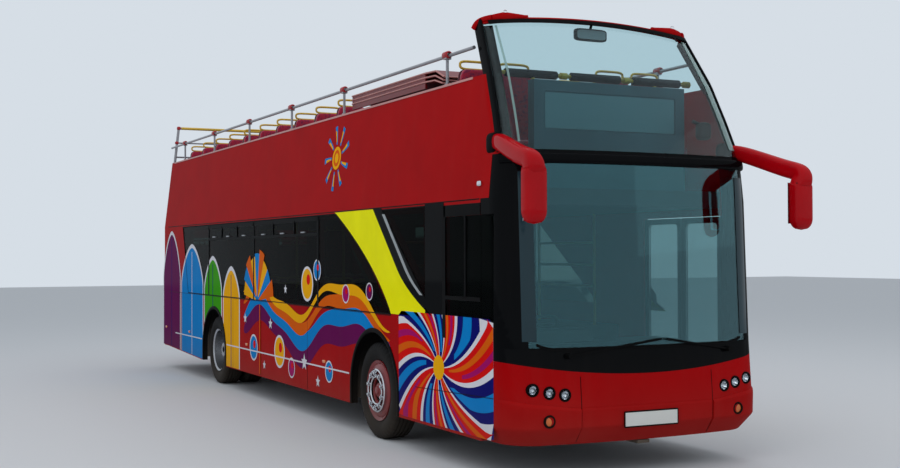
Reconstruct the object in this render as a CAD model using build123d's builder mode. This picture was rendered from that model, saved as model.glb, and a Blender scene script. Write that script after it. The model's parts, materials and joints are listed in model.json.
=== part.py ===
"""Open top double decker bus, right-hand drive, two axles. All sizes are in millimetres.

+Z is up, the bus faces -Y, +X is its left side, and the origin lies on the ground
under the middle of the outline. Places along the bus are distances behind the front axle.
"""

from build123d import *
import math
import os

# Overall sizes
wheelbase = 5905
front_overhang = 2905
rear_overhang = 3200
mirror_reach = 3310
body_half = 1275
wall = 50
side_thick = 60
panel_gap = 0.4
seat_gap = 0.3
running = 0.06

# Heights of the body
bumper_low_z = 285
skirt_z = 290
rear_skirt_z = 360
floor_z = 380
floor_deep = 40
rear_floor_z = 900
deck_z = 2290
band_z = 2650
rail_z = 3350
screen_top_z = 3925
guard_top = 3945
upper_floor_z = 2400
upper_floor_deep = 150

# Lean of the upper deck's sides and of its raked screen
rail_lean = 103
rail_half = body_half - rail_lean
screen_top_half = rail_half - 82


def lean_half(z):
    """Half width at a height on the upper deck's leaning sides."""
    return body_half - rail_lean * (z - deck_z) / (rail_z - deck_z)


# Plan of the front: a bowed nose with tangent corner arcs
front_split = 605 - front_overhang
# height, half width, setback behind the foremost point
front_levels = (
    (bumper_low_z, body_half - 80, 105),
    (430, body_half, 7),
    (600, body_half, 0),
    (1070, body_half, 37),
    (deck_z, body_half, 90),
    (band_z, lean_half(band_z), 105),
)
upper_levels = (
    (band_z, lean_half(band_z), 165),
    ((band_z + rail_z) / 2, lean_half((band_z + rail_z) / 2), 318),
    (rail_z, rail_half, 490),
    (screen_top_z, screen_top_half, 865),
)
# levels, bow radius, corner radius
lower_front = (front_levels, 6700, 290)
upper_front = (upper_levels, 6700, 200)
pillar_start = 30
pillar_stop = 58
screen_sweep = 54
foot_sweep = 60

# Rear end
tail = wheelbase + rear_overhang
tail_corner = 180
tail_lean = 95
rear_split = tail - 405
upper_tail = tail - tail_lean

# Front bumper and windscreen
bumper_top_mid = 845
bumper_top_side = 965
lamp_r = 54
screen_half = body_half - 185
screen_back = 465 - front_overhang
screen_low_z = 1075
screen_high_z = 2575
screen_base_z = band_z + 40
glass_thick = 10
glass_inset = 3
glass_gap = 0.3

# Crown of the upper screen: the red rail's depth, and its fall at a place across the bus
rail_deep = 40
crown_play = 2
crown_reach = body_half + 25
crown_fall = 95
screen_crown_z = screen_top_z - crown_play - rail_deep - glass_gap

# Side glazing, with places along the bus and heights
recess = 12
pane_thick = 9
glass_top_z = 2268
glass_low_z = 1255
glass_rear_top = wheelbase + 1815
glass_rear_low = wheelbase + 1475
# front edge and rear edge of each opening behind the yellow band
side_openings = ((1640, wheelbase - 1945), (wheelbase - 1865, wheelbase + 245), (wheelbase + 325, wheelbase + 1395))
opening_low_z = 1310
opening_high_z = 2215
band_front_low = (-1220, 1280)
band_front_top = (-20, 2268)
band_rear_low = (-440, 1255)
band_rear_mid = (350, 1900)
band_rear_top = (1040, 2268)
driver_low_z = 1120
driver_high_z = 2160
driver_front = 385 - front_overhang
driver_rear = -1610
wedge_front = -1220

# Door in the left side
door_front = front_split
door_rear = door_front + 1220
door_low_z = floor_z
door_high_z = 2180
leaf_thick = 36
leaf_frame = 55
leaf_edge = 15
leaf_inner_x = body_half - 49
hinge_back = 30
hinge_pin_r = 8
hinge_pin_deep = 20

# Engine lid in the tail
lid_half = body_half - 345
lid_low_z = 560
lid_high_z = 1440
lid_gap = 6
lid_thick = 40
lid_hinge_out = 10
lid_pin_r = 4
lid_barrel_r = 6.5
lid_lugs_x = (-600, 600)

# Wheels and their arches
tyre_r = 478
hub_z = tyre_r
arch_r = tyre_r + 112
tyre_width = 275
rim_r = 286
rim_lip = 300
front_wheel_x = body_half - 168
rear_outer_x = body_half - 185
rear_inner_x = rear_outer_x - 325
spindle_r = 42
kingpin_x = front_wheel_x - 227
kingpin_r = 22
boss_r = 55
boss_half = 88
lug_gap = 5
lug_deep = 34
arm_reach = 200
rod_z = 236
rod_r = 15

rear_lamp_deep = 16

front_axle_y = (mirror_reach - tail - rear_lamp_deep) / 2


def aft(distance):
    """Frame Y of a place this far behind the front axle."""
    return front_axle_y + distance


def outline_at(front, z):
    """Half width, nose, bow and corner radius of a front at a height, straight between its levels."""
    levels, bow, corner = front
    for (low_z, low_half, low_back), (high_z, high_half, high_back) in zip(levels, levels[1:]):
        share = (z - low_z) / (high_z - low_z)
        if share <= 1:
            break
    half = low_half + share * (high_half - low_half)
    return half, low_back + share * (high_back - low_back) - front_overhang, bow, corner


def corner_centre(half, nose, bow, corner):
    """Centre of the arc that joins the bowed nose to the side, tangent to both."""
    x = half - corner
    return x, aft(nose) + bow - math.sqrt((bow - corner) ** 2 - x**2)


def face_y(front, z, x):
    """Frame Y of a front's face at a height and a place across the bus."""
    half, nose, bow, corner = outline_at(front, z)
    centre = corner_centre(half, nose, bow, corner)
    if x < centre[0] * bow / (bow - corner):
        return aft(nose) + bow - math.sqrt(bow**2 - x**2)
    return centre[1] - math.sqrt(corner**2 - (x - centre[0]) ** 2)


def on_corner(side, centre, reach, angle):
    """A point on an arc about a corner's centre, at an angle from straight ahead."""
    turn = math.radians(angle)
    return side * (centre[0] + reach * math.sin(turn)), centre[1] - reach * math.cos(turn)


def strip_end(side, centre, outer_reach, inner_reach, angle, back):
    """Closes a strip at one end of its corner, after a straight side back to a place if given."""
    outer, inner = on_corner(side, centre, outer_reach, angle), on_corner(side, centre, inner_reach, angle)
    if back is None:
        Line(outer, inner)
    else:
        Polyline(outer, (outer[0], aft(back)), (inner[0], aft(back)), inner)


def wrap_plan(front, z, inset, thick, sweep=90, back=None):
    """A strip round the whole front at one height, with straight sides back to a place if given."""
    half, nose, bow, corner = outline_at(front, z)
    centre = corner_centre(half, nose, bow, corner)
    meet = math.degrees(math.atan2(centre[0], aft(nose) + bow - centre[1]))
    outer, inner = corner - inset, corner - inset - thick
    with BuildSketch(Plane.XY.offset(z)) as plan:
        with BuildLine():
            for reach in (outer, inner):
                ends = [on_corner(side, centre, reach, meet) for side in (-1, 1)]
                ThreePointArc(ends[0], (0, aft(nose) + corner - reach), ends[1])
                for side in (-1, 1):
                    ThreePointArc(*(on_corner(side, centre, reach, a) for a in (meet, (meet + sweep) / 2, sweep)))
            for side in (-1, 1):
                strip_end(side, centre, outer, inner, sweep, back)
        make_face()
    return plan.sketch


def corner_plan(front, z, side, inset, thick, start, stop, back=None):
    """A strip round one corner of a front at one height, with a straight side back to a place if given."""
    half, nose, bow, corner = outline_at(front, z)
    centre = corner_centre(half, nose, bow, corner)
    outer, inner = corner - inset, corner - inset - thick
    with BuildSketch(Plane.XY.offset(z)) as plan:
        with BuildLine():
            for reach in (outer, inner):
                ThreePointArc(*(on_corner(side, centre, reach, a) for a in (start, (start + stop) / 2, stop)))
            Line(on_corner(side, centre, outer, start), on_corner(side, centre, inner, start))
            strip_end(side, centre, outer, inner, stop, back)
        make_face()
    return plan.sketch


def heights_of(front, low_z, high_z):
    """Two heights with the levels of a front's table between them."""
    return [low_z] + [level[0] for level in front[0] if low_z < level[0] < high_z] + [high_z]


def tail_plan(z, half, end, inset, thick, front):
    """A strip round the tail at one height, open towards the front."""
    with BuildSketch(Plane.XY.offset(z)) as plan:
        with BuildLine():
            for depth in (inset, inset + thick):
                x, y, r = half - depth, aft(end) - depth, tail_corner - depth
                Line((-(x - r), y), (x - r, y))
                for side in (-1, 1):
                    bend = r * math.sqrt(0.5)
                    ThreePointArc((side * (x - r), y), (side * (x - r + bend), y - r + bend), (side * x, y - r))
                    Line((side * x, y - r), (side * x, aft(front)))
            for side in (-1, 1):
                Line((side * (half - inset), aft(front)), (side * (half - inset - thick), aft(front)))
        make_face()
    return plan.sketch


def box(low, high, mode=Mode.ADD):
    """A block between two corners, for use inside a part's block."""
    size = [b - a for a, b in zip(low, high)]
    with Locations(tuple((a + b) / 2 for a, b in zip(low, high))):
        Box(*size, mode=mode)


def shell(front, low_z, high_z, inset=0, thick=wall, sweep=90, back=None):
    """Sections round a front between two heights, at each level of its table."""
    return [wrap_plan(front, z, inset, thick, sweep, back) for z in heights_of(front, low_z, high_z)]


os.makedirs("parts", exist_ok=True)


def finish(part, label):
    """Names a finished piece and writes it."""
    part.label = label
    export_step(part, f"parts/{label}.step")


# What lies under the curved top edge of the bumper
far = 2 * body_half
with BuildSketch(Plane.XZ) as bumper_zone:
    with BuildLine():
        ThreePointArc((-body_half, bumper_top_side), (0, bumper_top_mid), (body_half, bumper_top_side))
        Polyline(
            (body_half, bumper_top_side),
            (far, bumper_top_side),
            (far, 0),
            (-far, 0),
            (-far, bumper_top_side),
            (-body_half, bumper_top_side),
        )
    make_face()

# Front bumper: the red lower nose with its lamp holes
lamp_centres = ((body_half - 202, 745), (body_half - 341, 718), (body_half - 475, 697), (body_half - 329, 493))
bumper_shapes = shell(lower_front, bumper_low_z, bumper_top_side, back=front_split)
with BuildPart() as front_bumper:
    loft(sections=bumper_shapes, ruled=True)
    extrude(bumper_zone.sketch, amount=tail, both=True, mode=Mode.INTERSECT)
    with BuildSketch(Plane.XZ):
        for lamp_x, lamp_z in lamp_centres:
            with Locations((lamp_x, lamp_z), (-lamp_x, lamp_z)):
                Circle(lamp_r)
    extrude(amount=tail, both=True, mode=Mode.SUBTRACT)
finish(front_bumper.part, "front_bumper")

# Black frame of the windscreen: the panel under it, its pillars and the band over it
frame_shapes = shell(lower_front, bumper_top_mid, band_z, back=front_split)
with BuildPart() as windscreen_frame:
    loft(sections=frame_shapes, ruled=True)
    extrude(bumper_zone.sketch, amount=tail, both=True, mode=Mode.SUBTRACT)
    box(
        (-screen_half, aft(-front_overhang - wall), screen_low_z),
        (screen_half, aft(screen_back), screen_high_z),
        Mode.SUBTRACT,
    )
    box((-far, aft(driver_front), driver_low_z), (-screen_half, aft(front_split), driver_high_z), Mode.SUBTRACT)
finish(windscreen_frame.part, "windscreen_frame")

# Glass of the windscreen, let into its frame
glass_shapes = shell(
    lower_front, screen_low_z + glass_gap, screen_high_z - glass_gap, glass_inset, glass_thick, back=front_split
)
with BuildPart() as windscreen_lower:
    loft(sections=glass_shapes, ruled=True)
    box(
        (glass_gap - screen_half, aft(-front_overhang - wall), 0),
        (screen_half - glass_gap, aft(screen_back), band_z),
        Mode.INTERSECT,
    )
finish(windscreen_lower.part, "windscreen_lower")

# Upper screen: one raked sheet that wraps both corners
crown_ends = [(side * crown_reach, screen_crown_z - crown_fall) for side in (-1, 1)]
screen_shapes = shell(upper_front, screen_base_z, screen_top_z, 0, glass_thick, screen_sweep)
with BuildPart() as windscreen_upper:
    loft(sections=screen_shapes, ruled=True)
    with BuildSketch(Plane.XZ):
        with BuildLine():
            ThreePointArc(crown_ends[0], (0, screen_crown_z), crown_ends[1])
            Polyline(crown_ends[1], (crown_reach, 0), (-crown_reach, 0), crown_ends[0])
        make_face()
    extrude(amount=tail, both=True, mode=Mode.INTERSECT)
finish(windscreen_upper.part, "windscreen_upper")

# Black foot of the upper screen and its two pillars, which lie behind the glass
frame_thick = 45
pillar_top = screen_top_z - 125
pillar_shapes = {
    side: [
        corner_plan(upper_front, z, side, glass_thick + 1, frame_thick, pillar_start, pillar_stop)
        for z in heights_of(upper_front, band_z + 10, pillar_top)
    ]
    for side in (-1, 1)
}
foot_shapes = shell(upper_front, band_z + seat_gap, screen_base_z - seat_gap, 0, frame_thick, foot_sweep)
with BuildPart() as upper_screen_frame:
    loft(sections=foot_shapes, ruled=True)
    for side in (-1, 1):
        loft(sections=pillar_shapes[side], ruled=True)
finish(upper_screen_frame.part, "upper_screen_frame")

# Red rail along the crowned top of the upper screen
rail_out = 8
rail_shapes = shell(upper_front, screen_top_z - 3 * crown_fall, screen_top_z, -rail_out, 80, foot_sweep)
with BuildPart() as upper_screen_rail:
    loft(sections=rail_shapes, ruled=True)
    with BuildSketch(Plane.XZ):
        with BuildLine():
            low_z, high_z = screen_crown_z + glass_gap, screen_top_z - crown_play
            ThreePointArc((-crown_reach, low_z - crown_fall), (0, low_z), (crown_reach, low_z - crown_fall))
            Line((crown_reach, low_z - crown_fall), (crown_reach, high_z - crown_fall))
            ThreePointArc((crown_reach, high_z - crown_fall), (0, high_z), (-crown_reach, high_z - crown_fall))
            Line((-crown_reach, high_z - crown_fall), (-crown_reach, low_z - crown_fall))
        make_face()
    extrude(amount=tail, both=True, mode=Mode.INTERSECT)
finish(upper_screen_rail.part - upper_screen_frame.part, "upper_screen_rail")


def glazing(points, x, inset=0):
    """A glazing outline from named points, drawn in the upright plane at this X."""
    with BuildSketch(Plane.YZ.offset(x)) as plan:
        with BuildLine():
            for start, end, middle in points:
                if middle is None:
                    Line((aft(start[0]), start[1]), (aft(end[0]), end[1]))
                else:
                    ThreePointArc(
                        (aft(start[0]), start[1]), (aft(middle[0]), middle[1]), (aft(end[0]), end[1])
                    )
        make_face()
        if inset:
            offset(amount=-inset, mode=Mode.REPLACE)
    return plan.sketch


rear_glazing = (
    (band_rear_low, band_rear_top, band_rear_mid),
    (band_rear_top, (glass_rear_top, glass_top_z), None),
    ((glass_rear_top, glass_top_z), (glass_rear_low, glass_low_z), None),
    ((glass_rear_low, glass_low_z), band_rear_low, None),
)
wedge_top_rear = (band_front_top[0] - 190, glass_top_z)
wedge_low = (wedge_front, band_front_low[1] + 140)
wedge_glazing = (
    (wedge_top_rear, (wedge_front, glass_top_z), None),
    ((wedge_front, glass_top_z), wedge_low, None),
    (wedge_low, wedge_top_rear, None),
)
driver_glazing = (
    ((driver_rear, driver_high_z), (front_split, driver_high_z), None),
    ((front_split, driver_high_z), (front_split, driver_low_z), None),
    ((front_split, driver_low_z), (driver_rear, driver_low_z), None),
    ((driver_rear, driver_low_z), (driver_rear, driver_high_z), None),
)
# glazing outlines of each side
sides = {
    "right": (-1, (rear_glazing, wedge_glazing)),
    "left": (1, (rear_glazing,)),
}


def opening_front(z):
    """Place of the yellow band's curved rear edge at a height, for the first opening."""
    share = (z - band_rear_low[1]) / (band_rear_top[1] - band_rear_low[1])
    return band_rear_low[0] + share * (band_rear_top[0] - band_rear_low[0])


side_walls = []
panes = []
for name, (side, outlines) in sides.items():
    outer_x = side * body_half
    inner_x = side * (body_half - side_thick)
    with BuildPart() as side_wall:
        with BuildSketch(Plane.YZ.offset(min(outer_x, inner_x))):
            with BuildLine():
                Polyline(
                    (aft(front_split), skirt_z),
                    (aft(wheelbase + 695), skirt_z),
                    (aft(rear_split), rear_skirt_z),
                    (aft(rear_split), deck_z),
                    (aft(front_split), deck_z),
                    close=True,
                )
            make_face()
            for axle in (0, wheelbase):
                with Locations((aft(axle), hub_z)):
                    Circle(arch_r, mode=Mode.SUBTRACT)
                with Locations((aft(axle), hub_z / 2)):
                    Rectangle(2 * arch_r, hub_z, mode=Mode.SUBTRACT)
            for front, rear in side_openings:
                with Locations((aft((front + rear) / 2), (opening_low_z + opening_high_z) / 2)):
                    RectangleRounded(rear - front, opening_high_z - opening_low_z, 60, mode=Mode.SUBTRACT)
            with BuildLine():
                Polyline(
                    (aft(opening_front(opening_low_z) + 120), opening_low_z),
                    (aft(side_openings[0][0] - 80), opening_low_z),
                    (aft(side_openings[0][0] - 80), opening_high_z),
                    (aft(opening_front(opening_high_z) + 60), opening_high_z),
                    close=True,
                )
            make_face(mode=Mode.SUBTRACT)
            if name == "right":
                with BuildLine():
                    Polyline(
                        (aft(wedge_top_rear[0] - 130), glass_top_z - 55),
                        (aft(wedge_front + 55), glass_top_z - 55),
                        (aft(wedge_front + 55), wedge_low[1] + 110),
                        close=True,
                    )
                make_face(mode=Mode.SUBTRACT)
                with Locations((aft((driver_rear + front_split) / 2), (driver_low_z + driver_high_z) / 2)):
                    Rectangle(driver_rear - front_split, driver_high_z - driver_low_z, mode=Mode.SUBTRACT)
            else:
                with Locations((aft((door_front + door_rear) / 2), (door_low_z + door_high_z) / 2)):
                    Rectangle(door_rear - door_front, door_high_z - door_low_z, mode=Mode.SUBTRACT)
        extrude(amount=abs(outer_x - inner_x))
        if name == "left":
            for place in (door_front + hinge_back, door_rear - hinge_back):
                for end_z in (door_low_z, door_high_z):
                    with Locations((leaf_inner_x + leaf_thick / 2, aft(place), end_z)):
                        Cylinder(hinge_pin_r + running, 2 * hinge_pin_deep, mode=Mode.SUBTRACT)
        for outline in outlines:
            cut = glazing(outline, outer_x - side * recess)
            extrude(cut, amount=side * 2 * recess, mode=Mode.SUBTRACT)
    side_walls.append(side_wall.part)

    with BuildPart() as side_glass:
        for outline in outlines:
            extrude(glazing(outline, outer_x - side * (recess - seat_gap), glass_gap), amount=side * pane_thick)
        if name == "right":
            pane_x = outer_x - side * (glass_inset + glass_thick)
            extrude(glazing(driver_glazing, pane_x, glass_gap), amount=side * glass_thick)
    panes.append(side_glass.part)
    if name == "right":
        shapes = shell(
            lower_front,
            driver_low_z + glass_gap,
            driver_high_z - glass_gap,
            glass_inset,
            glass_thick,
            back=front_split,
        )
        with BuildPart() as quarter_glass:
            loft(sections=shapes, ruled=True)
            box(
                (-far, aft(driver_front + glass_gap), 0),
                (-screen_half, aft(front_split - glass_gap), band_z),
                Mode.INTERSECT,
            )
        panes.append(quarter_glass.part)
finish(Part(children=side_walls), "lower_sides")

# Leaning sides of the upper deck, with the curved pieces that close them to the screen's pillars
upper_thick = 40
corner_back = front_split + 400
upper_sides = []
for name, (side, _) in sides.items():
    corner_shapes = [
        corner_plan(upper_front, z, side, 0, upper_thick, pillar_stop + 3, 90, corner_back)
        for z in heights_of(upper_front, band_z + panel_gap, rail_z)
    ]
    with BuildPart() as upper_side:
        for front, rear, top in ((front_split + panel_gap, corner_back, band_z), (corner_back, rear_split, rail_z)):
            with BuildSketch(Plane.XZ.offset(-aft(front))):
                with BuildLine():
                    Polyline(
                        (side * body_half, deck_z + panel_gap),
                        (side * lean_half(top), top),
                        (side * (lean_half(top) - upper_thick), top),
                        (side * (body_half - upper_thick), deck_z + panel_gap),
                        close=True,
                    )
                make_face()
            extrude(amount=-(rear - front))
        loft(sections=corner_shapes, ruled=True)
    upper_sides.append(upper_side.part)
finish(Part(children=upper_sides), "upper_sides")

# Tail of the body, with the engine lid's opening, a window over it and lamp columns
rear_window = ((475 - body_half, 1560), (body_half - 475, 2120))
with BuildPart() as rear_panel_lower:
    low_plan = tail_plan(rear_skirt_z, body_half, tail, 0, wall, rear_split + panel_gap)
    high_plan = tail_plan(deck_z, body_half, tail, 0, wall, rear_split + panel_gap)
    loft(sections=[low_plan, high_plan], ruled=True)
    with BuildSketch(Plane.XZ.offset(-aft(tail))):
        with Locations((0, (lid_low_z + lid_high_z) / 2)):
            RectangleRounded(2 * lid_half, lid_high_z - lid_low_z, 60)
        with Locations((0, (rear_window[0][1] + rear_window[1][1]) / 2)):
            RectangleRounded(rear_window[1][0] - rear_window[0][0], rear_window[1][1] - rear_window[0][1], 70)
    extrude(amount=2 * wall, both=True, mode=Mode.SUBTRACT)
    # fixed halves of the lid's hinges, with their pins
    for x in lid_lugs_x:
        with Locations((x, aft(tail) + lid_hinge_out, lid_high_z)):
            Cylinder(lid_pin_r, 120, rotation=(0, 90, 0))
        for shift in (-40, 40):
            with Locations((x + shift, aft(tail) + lid_hinge_out, lid_high_z)):
                Cylinder(lid_barrel_r, 38, rotation=(0, 90, 0))
            box(
                (x + shift - 19, aft(tail), lid_high_z),
                (x + shift + 19, aft(tail) + lid_hinge_out - 2, lid_high_z + 50),
            )
finish(rear_panel_lower.part, "rear_panel_lower")

with BuildPart() as rear_glass:
    with BuildSketch(Plane.XZ.offset(-aft(tail) + glass_inset)):
        with Locations((0, (rear_window[0][1] + rear_window[1][1]) / 2)):
            RectangleRounded(
                rear_window[1][0] - rear_window[0][0] - 2 * glass_gap,
                rear_window[1][1] - rear_window[0][1] - 2 * glass_gap,
                70 - glass_gap,
            )
    extrude(amount=glass_thick)
panes.append(rear_glass.part)
finish(Part(children=panes), "saloon_glass")

with BuildPart() as engine_lid:
    with BuildSketch(Plane.XZ.offset(-aft(tail))):
        with Locations((0, (lid_low_z + lid_high_z) / 2)):
            RectangleRounded(2 * (lid_half - lid_gap), lid_high_z - lid_low_z - 2 * lid_gap, 60 - lid_gap)
    extrude(amount=lid_thick)
    with BuildSketch(Plane.XZ.offset(-aft(tail))):
        with GridLocations(620, 70, 2, 7):
            with Locations((0, (lid_low_z + lid_high_z) / 2)):
                SlotOverall(520, 26)
    extrude(amount=2 * lid_thick, mode=Mode.SUBTRACT)
    for x in lid_lugs_x:
        with Locations((x, aft(tail) + lid_hinge_out, lid_high_z)):
            Cylinder(lid_barrel_r, 38, rotation=(0, 90, 0))
        box((x - 19, aft(tail), lid_high_z - 50), (x + 19, aft(tail) + lid_hinge_out - 2, lid_high_z))
        with Locations((x, aft(tail) + lid_hinge_out, lid_high_z)):
            Cylinder(lid_pin_r + running, 60, rotation=(0, 90, 0), mode=Mode.SUBTRACT)
finish(engine_lid.part, "engine_lid")

with BuildPart() as rear_panel_upper:
    low_plan = tail_plan(deck_z + panel_gap, body_half, tail, 0, upper_thick, rear_split + panel_gap)
    high_plan = tail_plan(rail_z, rail_half, upper_tail, 0, upper_thick, rear_split + panel_gap)
    loft(sections=[low_plan, high_plan], ruled=True)
finish(rear_panel_upper.part, "rear_panel_upper")

# Wheel boxes over each wheel, open below and towards the wheel's arch
box_skin = 16
inner_half = body_half - side_thick
axle_room = 130
# place behind the front axle, inner face, half length, inner height
wheel_boxes = (
    ("front", 0, front_wheel_x - 547, tyre_r + 142, hub_z + tyre_r + 129),
    ("rear", wheelbase, rear_inner_x - 175, tyre_r + 82, hub_z + tyre_r + 94),
)
box_pieces = []
for name, axle, inner_x, half_length, high_z in wheel_boxes:
    with BuildPart() as boxes:
        for side in (-1, 1):
            with BuildSketch(Plane.YZ.offset(side * (inner_half - seat_gap))):
                for grow, mode in ((box_skin, Mode.ADD), (0, Mode.SUBTRACT)):
                    with Locations((aft(axle), (high_z + grow) / 2)):
                        Rectangle(2 * (half_length + grow), high_z + grow, mode=mode)
                with Locations((aft(axle), (floor_z - floor_deep) / 2)):
                    Rectangle(4 * half_length, floor_z - floor_deep, mode=Mode.SUBTRACT)
            extrude(amount=-side * (inner_half - inner_x))
            with BuildSketch(Plane.YZ.offset(side * inner_x)):
                with Locations((aft(axle), (floor_z - floor_deep + high_z + box_skin) / 2)):
                    Rectangle(2 * (half_length + box_skin), high_z + box_skin - floor_z + floor_deep)
            extrude(amount=-side * box_skin)
        if name == "rear":
            box(
                (-inner_x - 50, aft(axle - axle_room), 0),
                (inner_x + 50, aft(axle + axle_room), hub_z + axle_room),
                Mode.SUBTRACT,
            )
    box_pieces.append(boxes.part)
finish(Part(children=box_pieces), "wheel_boxes")

# Lower floor: a flat front part, a riser and the raised rear part
riser_at = wheelbase - 955
floor_half = inner_half - seat_gap
with BuildPart() as lower_floor:
    box((-floor_half, aft(front_split), floor_z - floor_deep), (floor_half, aft(riser_at), floor_z))
    box((-floor_half, aft(riser_at), floor_z - floor_deep), (floor_half, aft(riser_at + 30), rear_floor_z))
    box((-floor_half, aft(riser_at), rear_floor_z - floor_deep), (floor_half, aft(rear_split), rear_floor_z))
    for name, axle, inner_x, half_length, high_z in wheel_boxes:
        for side in (-1, 1):
            edges = sorted((side * (inner_x - box_skin - seat_gap), side * 2 * body_half))
            reach = half_length + box_skin + seat_gap
            box((edges[0], aft(axle - reach), 0), (edges[1], aft(axle + reach), high_z), Mode.SUBTRACT)
finish(lower_floor.part, "lower_floor")

# Upper floor with the stairwell
stair_x = (85 - body_half, 805 - body_half)
well_front, well_rear = -1150, 1000
with BuildPart() as upper_floor:
    upper_half = body_half - upper_thick - 15
    box(
        (-floor_half, aft(front_split + 20), upper_floor_z - upper_floor_deep),
        (floor_half, aft(rear_split), deck_z),
    )
    box(
        (-upper_half, aft(front_split + 20), deck_z),
        (upper_half, aft(rear_split), upper_floor_z),
    )
    box(
        (stair_x[0] - seat_gap, aft(well_front), upper_floor_z - 2 * upper_floor_deep),
        (stair_x[1], aft(well_rear), upper_floor_z + upper_floor_deep),
        Mode.SUBTRACT,
    )
finish(upper_floor.part, "upper_floor")

# Stairs up towards the rear, behind the driver
risers = 10
tread = 260
stair_front = well_rear - (risers - 1) * tread
stair_skin = 30
rise = (upper_floor_z - floor_z) / risers
with BuildPart() as stairs:
    with BuildSketch(Plane.YZ.offset(stair_x[0])):
        with BuildLine():
            steps = [(aft(stair_front), floor_z + seat_gap)]
            for step in range(risers - 1):
                steps.append((aft(stair_front + step * tread), floor_z + (step + 1) * rise))
                steps.append((aft(stair_front + (step + 1) * tread), floor_z + (step + 1) * rise))
            last = aft(stair_front + (risers - 1) * tread)
            Polyline(
                *steps,
                (last, floor_z + (risers - 1) * rise - stair_skin - rise / 2),
                (aft(stair_front + 1.5 * tread), floor_z + seat_gap),
                close=True,
            )
        make_face()
    extrude(amount=stair_x[1] - stair_x[0] - seat_gap)
    for name, axle, inner_x, half_length, high_z in wheel_boxes[:1]:
        reach = half_length + box_skin + seat_gap
        box(
            (-body_half, aft(axle - reach), 0),
            (-inner_x + box_skin + seat_gap, aft(axle + reach), high_z + box_skin + seat_gap),
            Mode.SUBTRACT,
        )
finish(stairs.part, "stairs")

# Chassis: low rails under the front floor, high rails over the rear axle, and cross members
rail_x = 430
rail_wide = 70
rail_low = 262
cross_half = body_half - 175
chassis_front = front_split - 50
chassis_rear = tail - 255
rear_jack = wheelbase + 1295
rear_rail_low = 640
rear_rail_high = 780
jack_pad = 60
jack_deep = 12
beam_wide = 110
with BuildPart() as chassis_frame:
    for side in (-1, 1):
        edges = sorted((side * (rail_x - rail_wide / 2), side * (rail_x + rail_wide / 2)))
        box(
            (edges[0], aft(chassis_front), rail_low),
            (edges[1], aft(-beam_wide / 2 - seat_gap), floor_z - floor_deep - seat_gap),
        )
        with BuildSketch(Plane.YZ.offset(edges[0])):
            with BuildLine():
                low_top = floor_z - floor_deep - seat_gap
                Polyline(
                    (aft(beam_wide / 2 + seat_gap), rail_low),
                    (aft(riser_at + 120), rail_low),
                    (aft(riser_at + 300), rear_rail_low),
                    (aft(chassis_rear), rear_rail_low),
                    (aft(chassis_rear), rear_rail_high),
                    (aft(riser_at + 240), rear_rail_high),
                    (aft(riser_at + 50), low_top),
                    (aft(beam_wide / 2 + seat_gap), low_top),
                    close=True,
                )
            make_face()
        extrude(amount=rail_wide)
    for place in (chassis_front, -1100, 1500, 3100, riser_at - 350):
        box((-cross_half, aft(place), rail_low), (cross_half, aft(place + 60), floor_z - floor_deep - seat_gap))
    for place in (riser_at + 300, wheelbase + 795, chassis_rear - 60):
        box((-cross_half, aft(place), rear_rail_high - 100), (cross_half, aft(place + 60), rear_rail_high))
    for place in (riser_at + 300, wheelbase + 795, chassis_rear - 250):
        for side in (-1, 1):
            edges = sorted((side * (rail_x - rail_wide / 2), side * (rail_x + rail_wide / 2)))
            box((edges[0], aft(place), rear_rail_high), (edges[1], aft(place + 60), rear_floor_z - floor_deep - seat_gap))
    # pads for a workshop jack under the rails
    for place, low in ((-1700, rail_low), (rear_jack, rear_rail_low)):
        for side in (-1, 1):
            edges = sorted((side * (rail_x - rail_wide / 2), side * (rail_x + rail_wide / 2)))
            box((edges[0], aft(place - jack_pad), low - jack_deep), (edges[1], aft(place + jack_pad), low))
    # towing bracket under the bumper with its pin hole
    box((-60, aft(115 - front_overhang), 250), (60, aft(chassis_front), 278))
    with Locations((0, aft(175 - front_overhang), 264)):
        Hole(20, depth=60)
finish(chassis_frame.part, "chassis_frame")

# Front axle: a dropped beam with a boss and kingpin at each end
with BuildPart() as front_axle_beam:
    with BuildSketch(Plane.XZ.offset(-aft(0) - beam_wide / 2)):
        with BuildLine():
            Polyline(
                (-kingpin_x, hub_z + 60),
                (-kingpin_x, hub_z - 60),
                (-kingpin_x + 120, hub_z - 80),
                (-600, hub_z - 250),
                (600, hub_z - 250),
                (kingpin_x - 120, hub_z - 80),
                (kingpin_x, hub_z - 60),
                (kingpin_x, hub_z + 60),
                (kingpin_x - 150, hub_z + 20),
                (575, hub_z - 148),
                (-575, hub_z - 148),
                (-kingpin_x + 150, hub_z + 20),
                close=True,
            )
        make_face()
    extrude(amount=beam_wide)
    for side in (-1, 1):
        with Locations((side * kingpin_x, aft(0), hub_z)):
            Cylinder(boss_r, 2 * boss_half)
            Cylinder(kingpin_r, 2 * (boss_half + lug_gap + lug_deep))
finish(front_axle_beam.part, "front_axle_beam")

# Rear axle: a tube with the drive's housing, air springs up to the rails
tube_r = 70
rear_spindle_r = 45
with BuildPart() as rear_axle:
    with Locations((0, aft(wheelbase), hub_z)):
        Cylinder(tube_r, 2 * (rear_inner_x - 205), rotation=(0, 90, 0))
        Cylinder(rear_spindle_r, 2 * (rear_outer_x - 20), rotation=(0, 90, 0))
        Cone(200, 120, 150, rotation=(90, 0, 0), align=(Align.CENTER, Align.CENTER, Align.MIN))
        Cone(200, 130, 110, rotation=(-90, 0, 0), align=(Align.CENTER, Align.CENTER, Align.MIN))
    for side in (-1, 1):
        with Locations((side * rail_x, aft(wheelbase), hub_z + tube_r - 10)):
            Cylinder(
                105, rear_rail_low - hub_z - tube_r + 10 - seat_gap, align=(Align.CENTER, Align.CENTER, Align.MIN)
            )
finish(rear_axle.part, "rear_axle")

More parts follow.
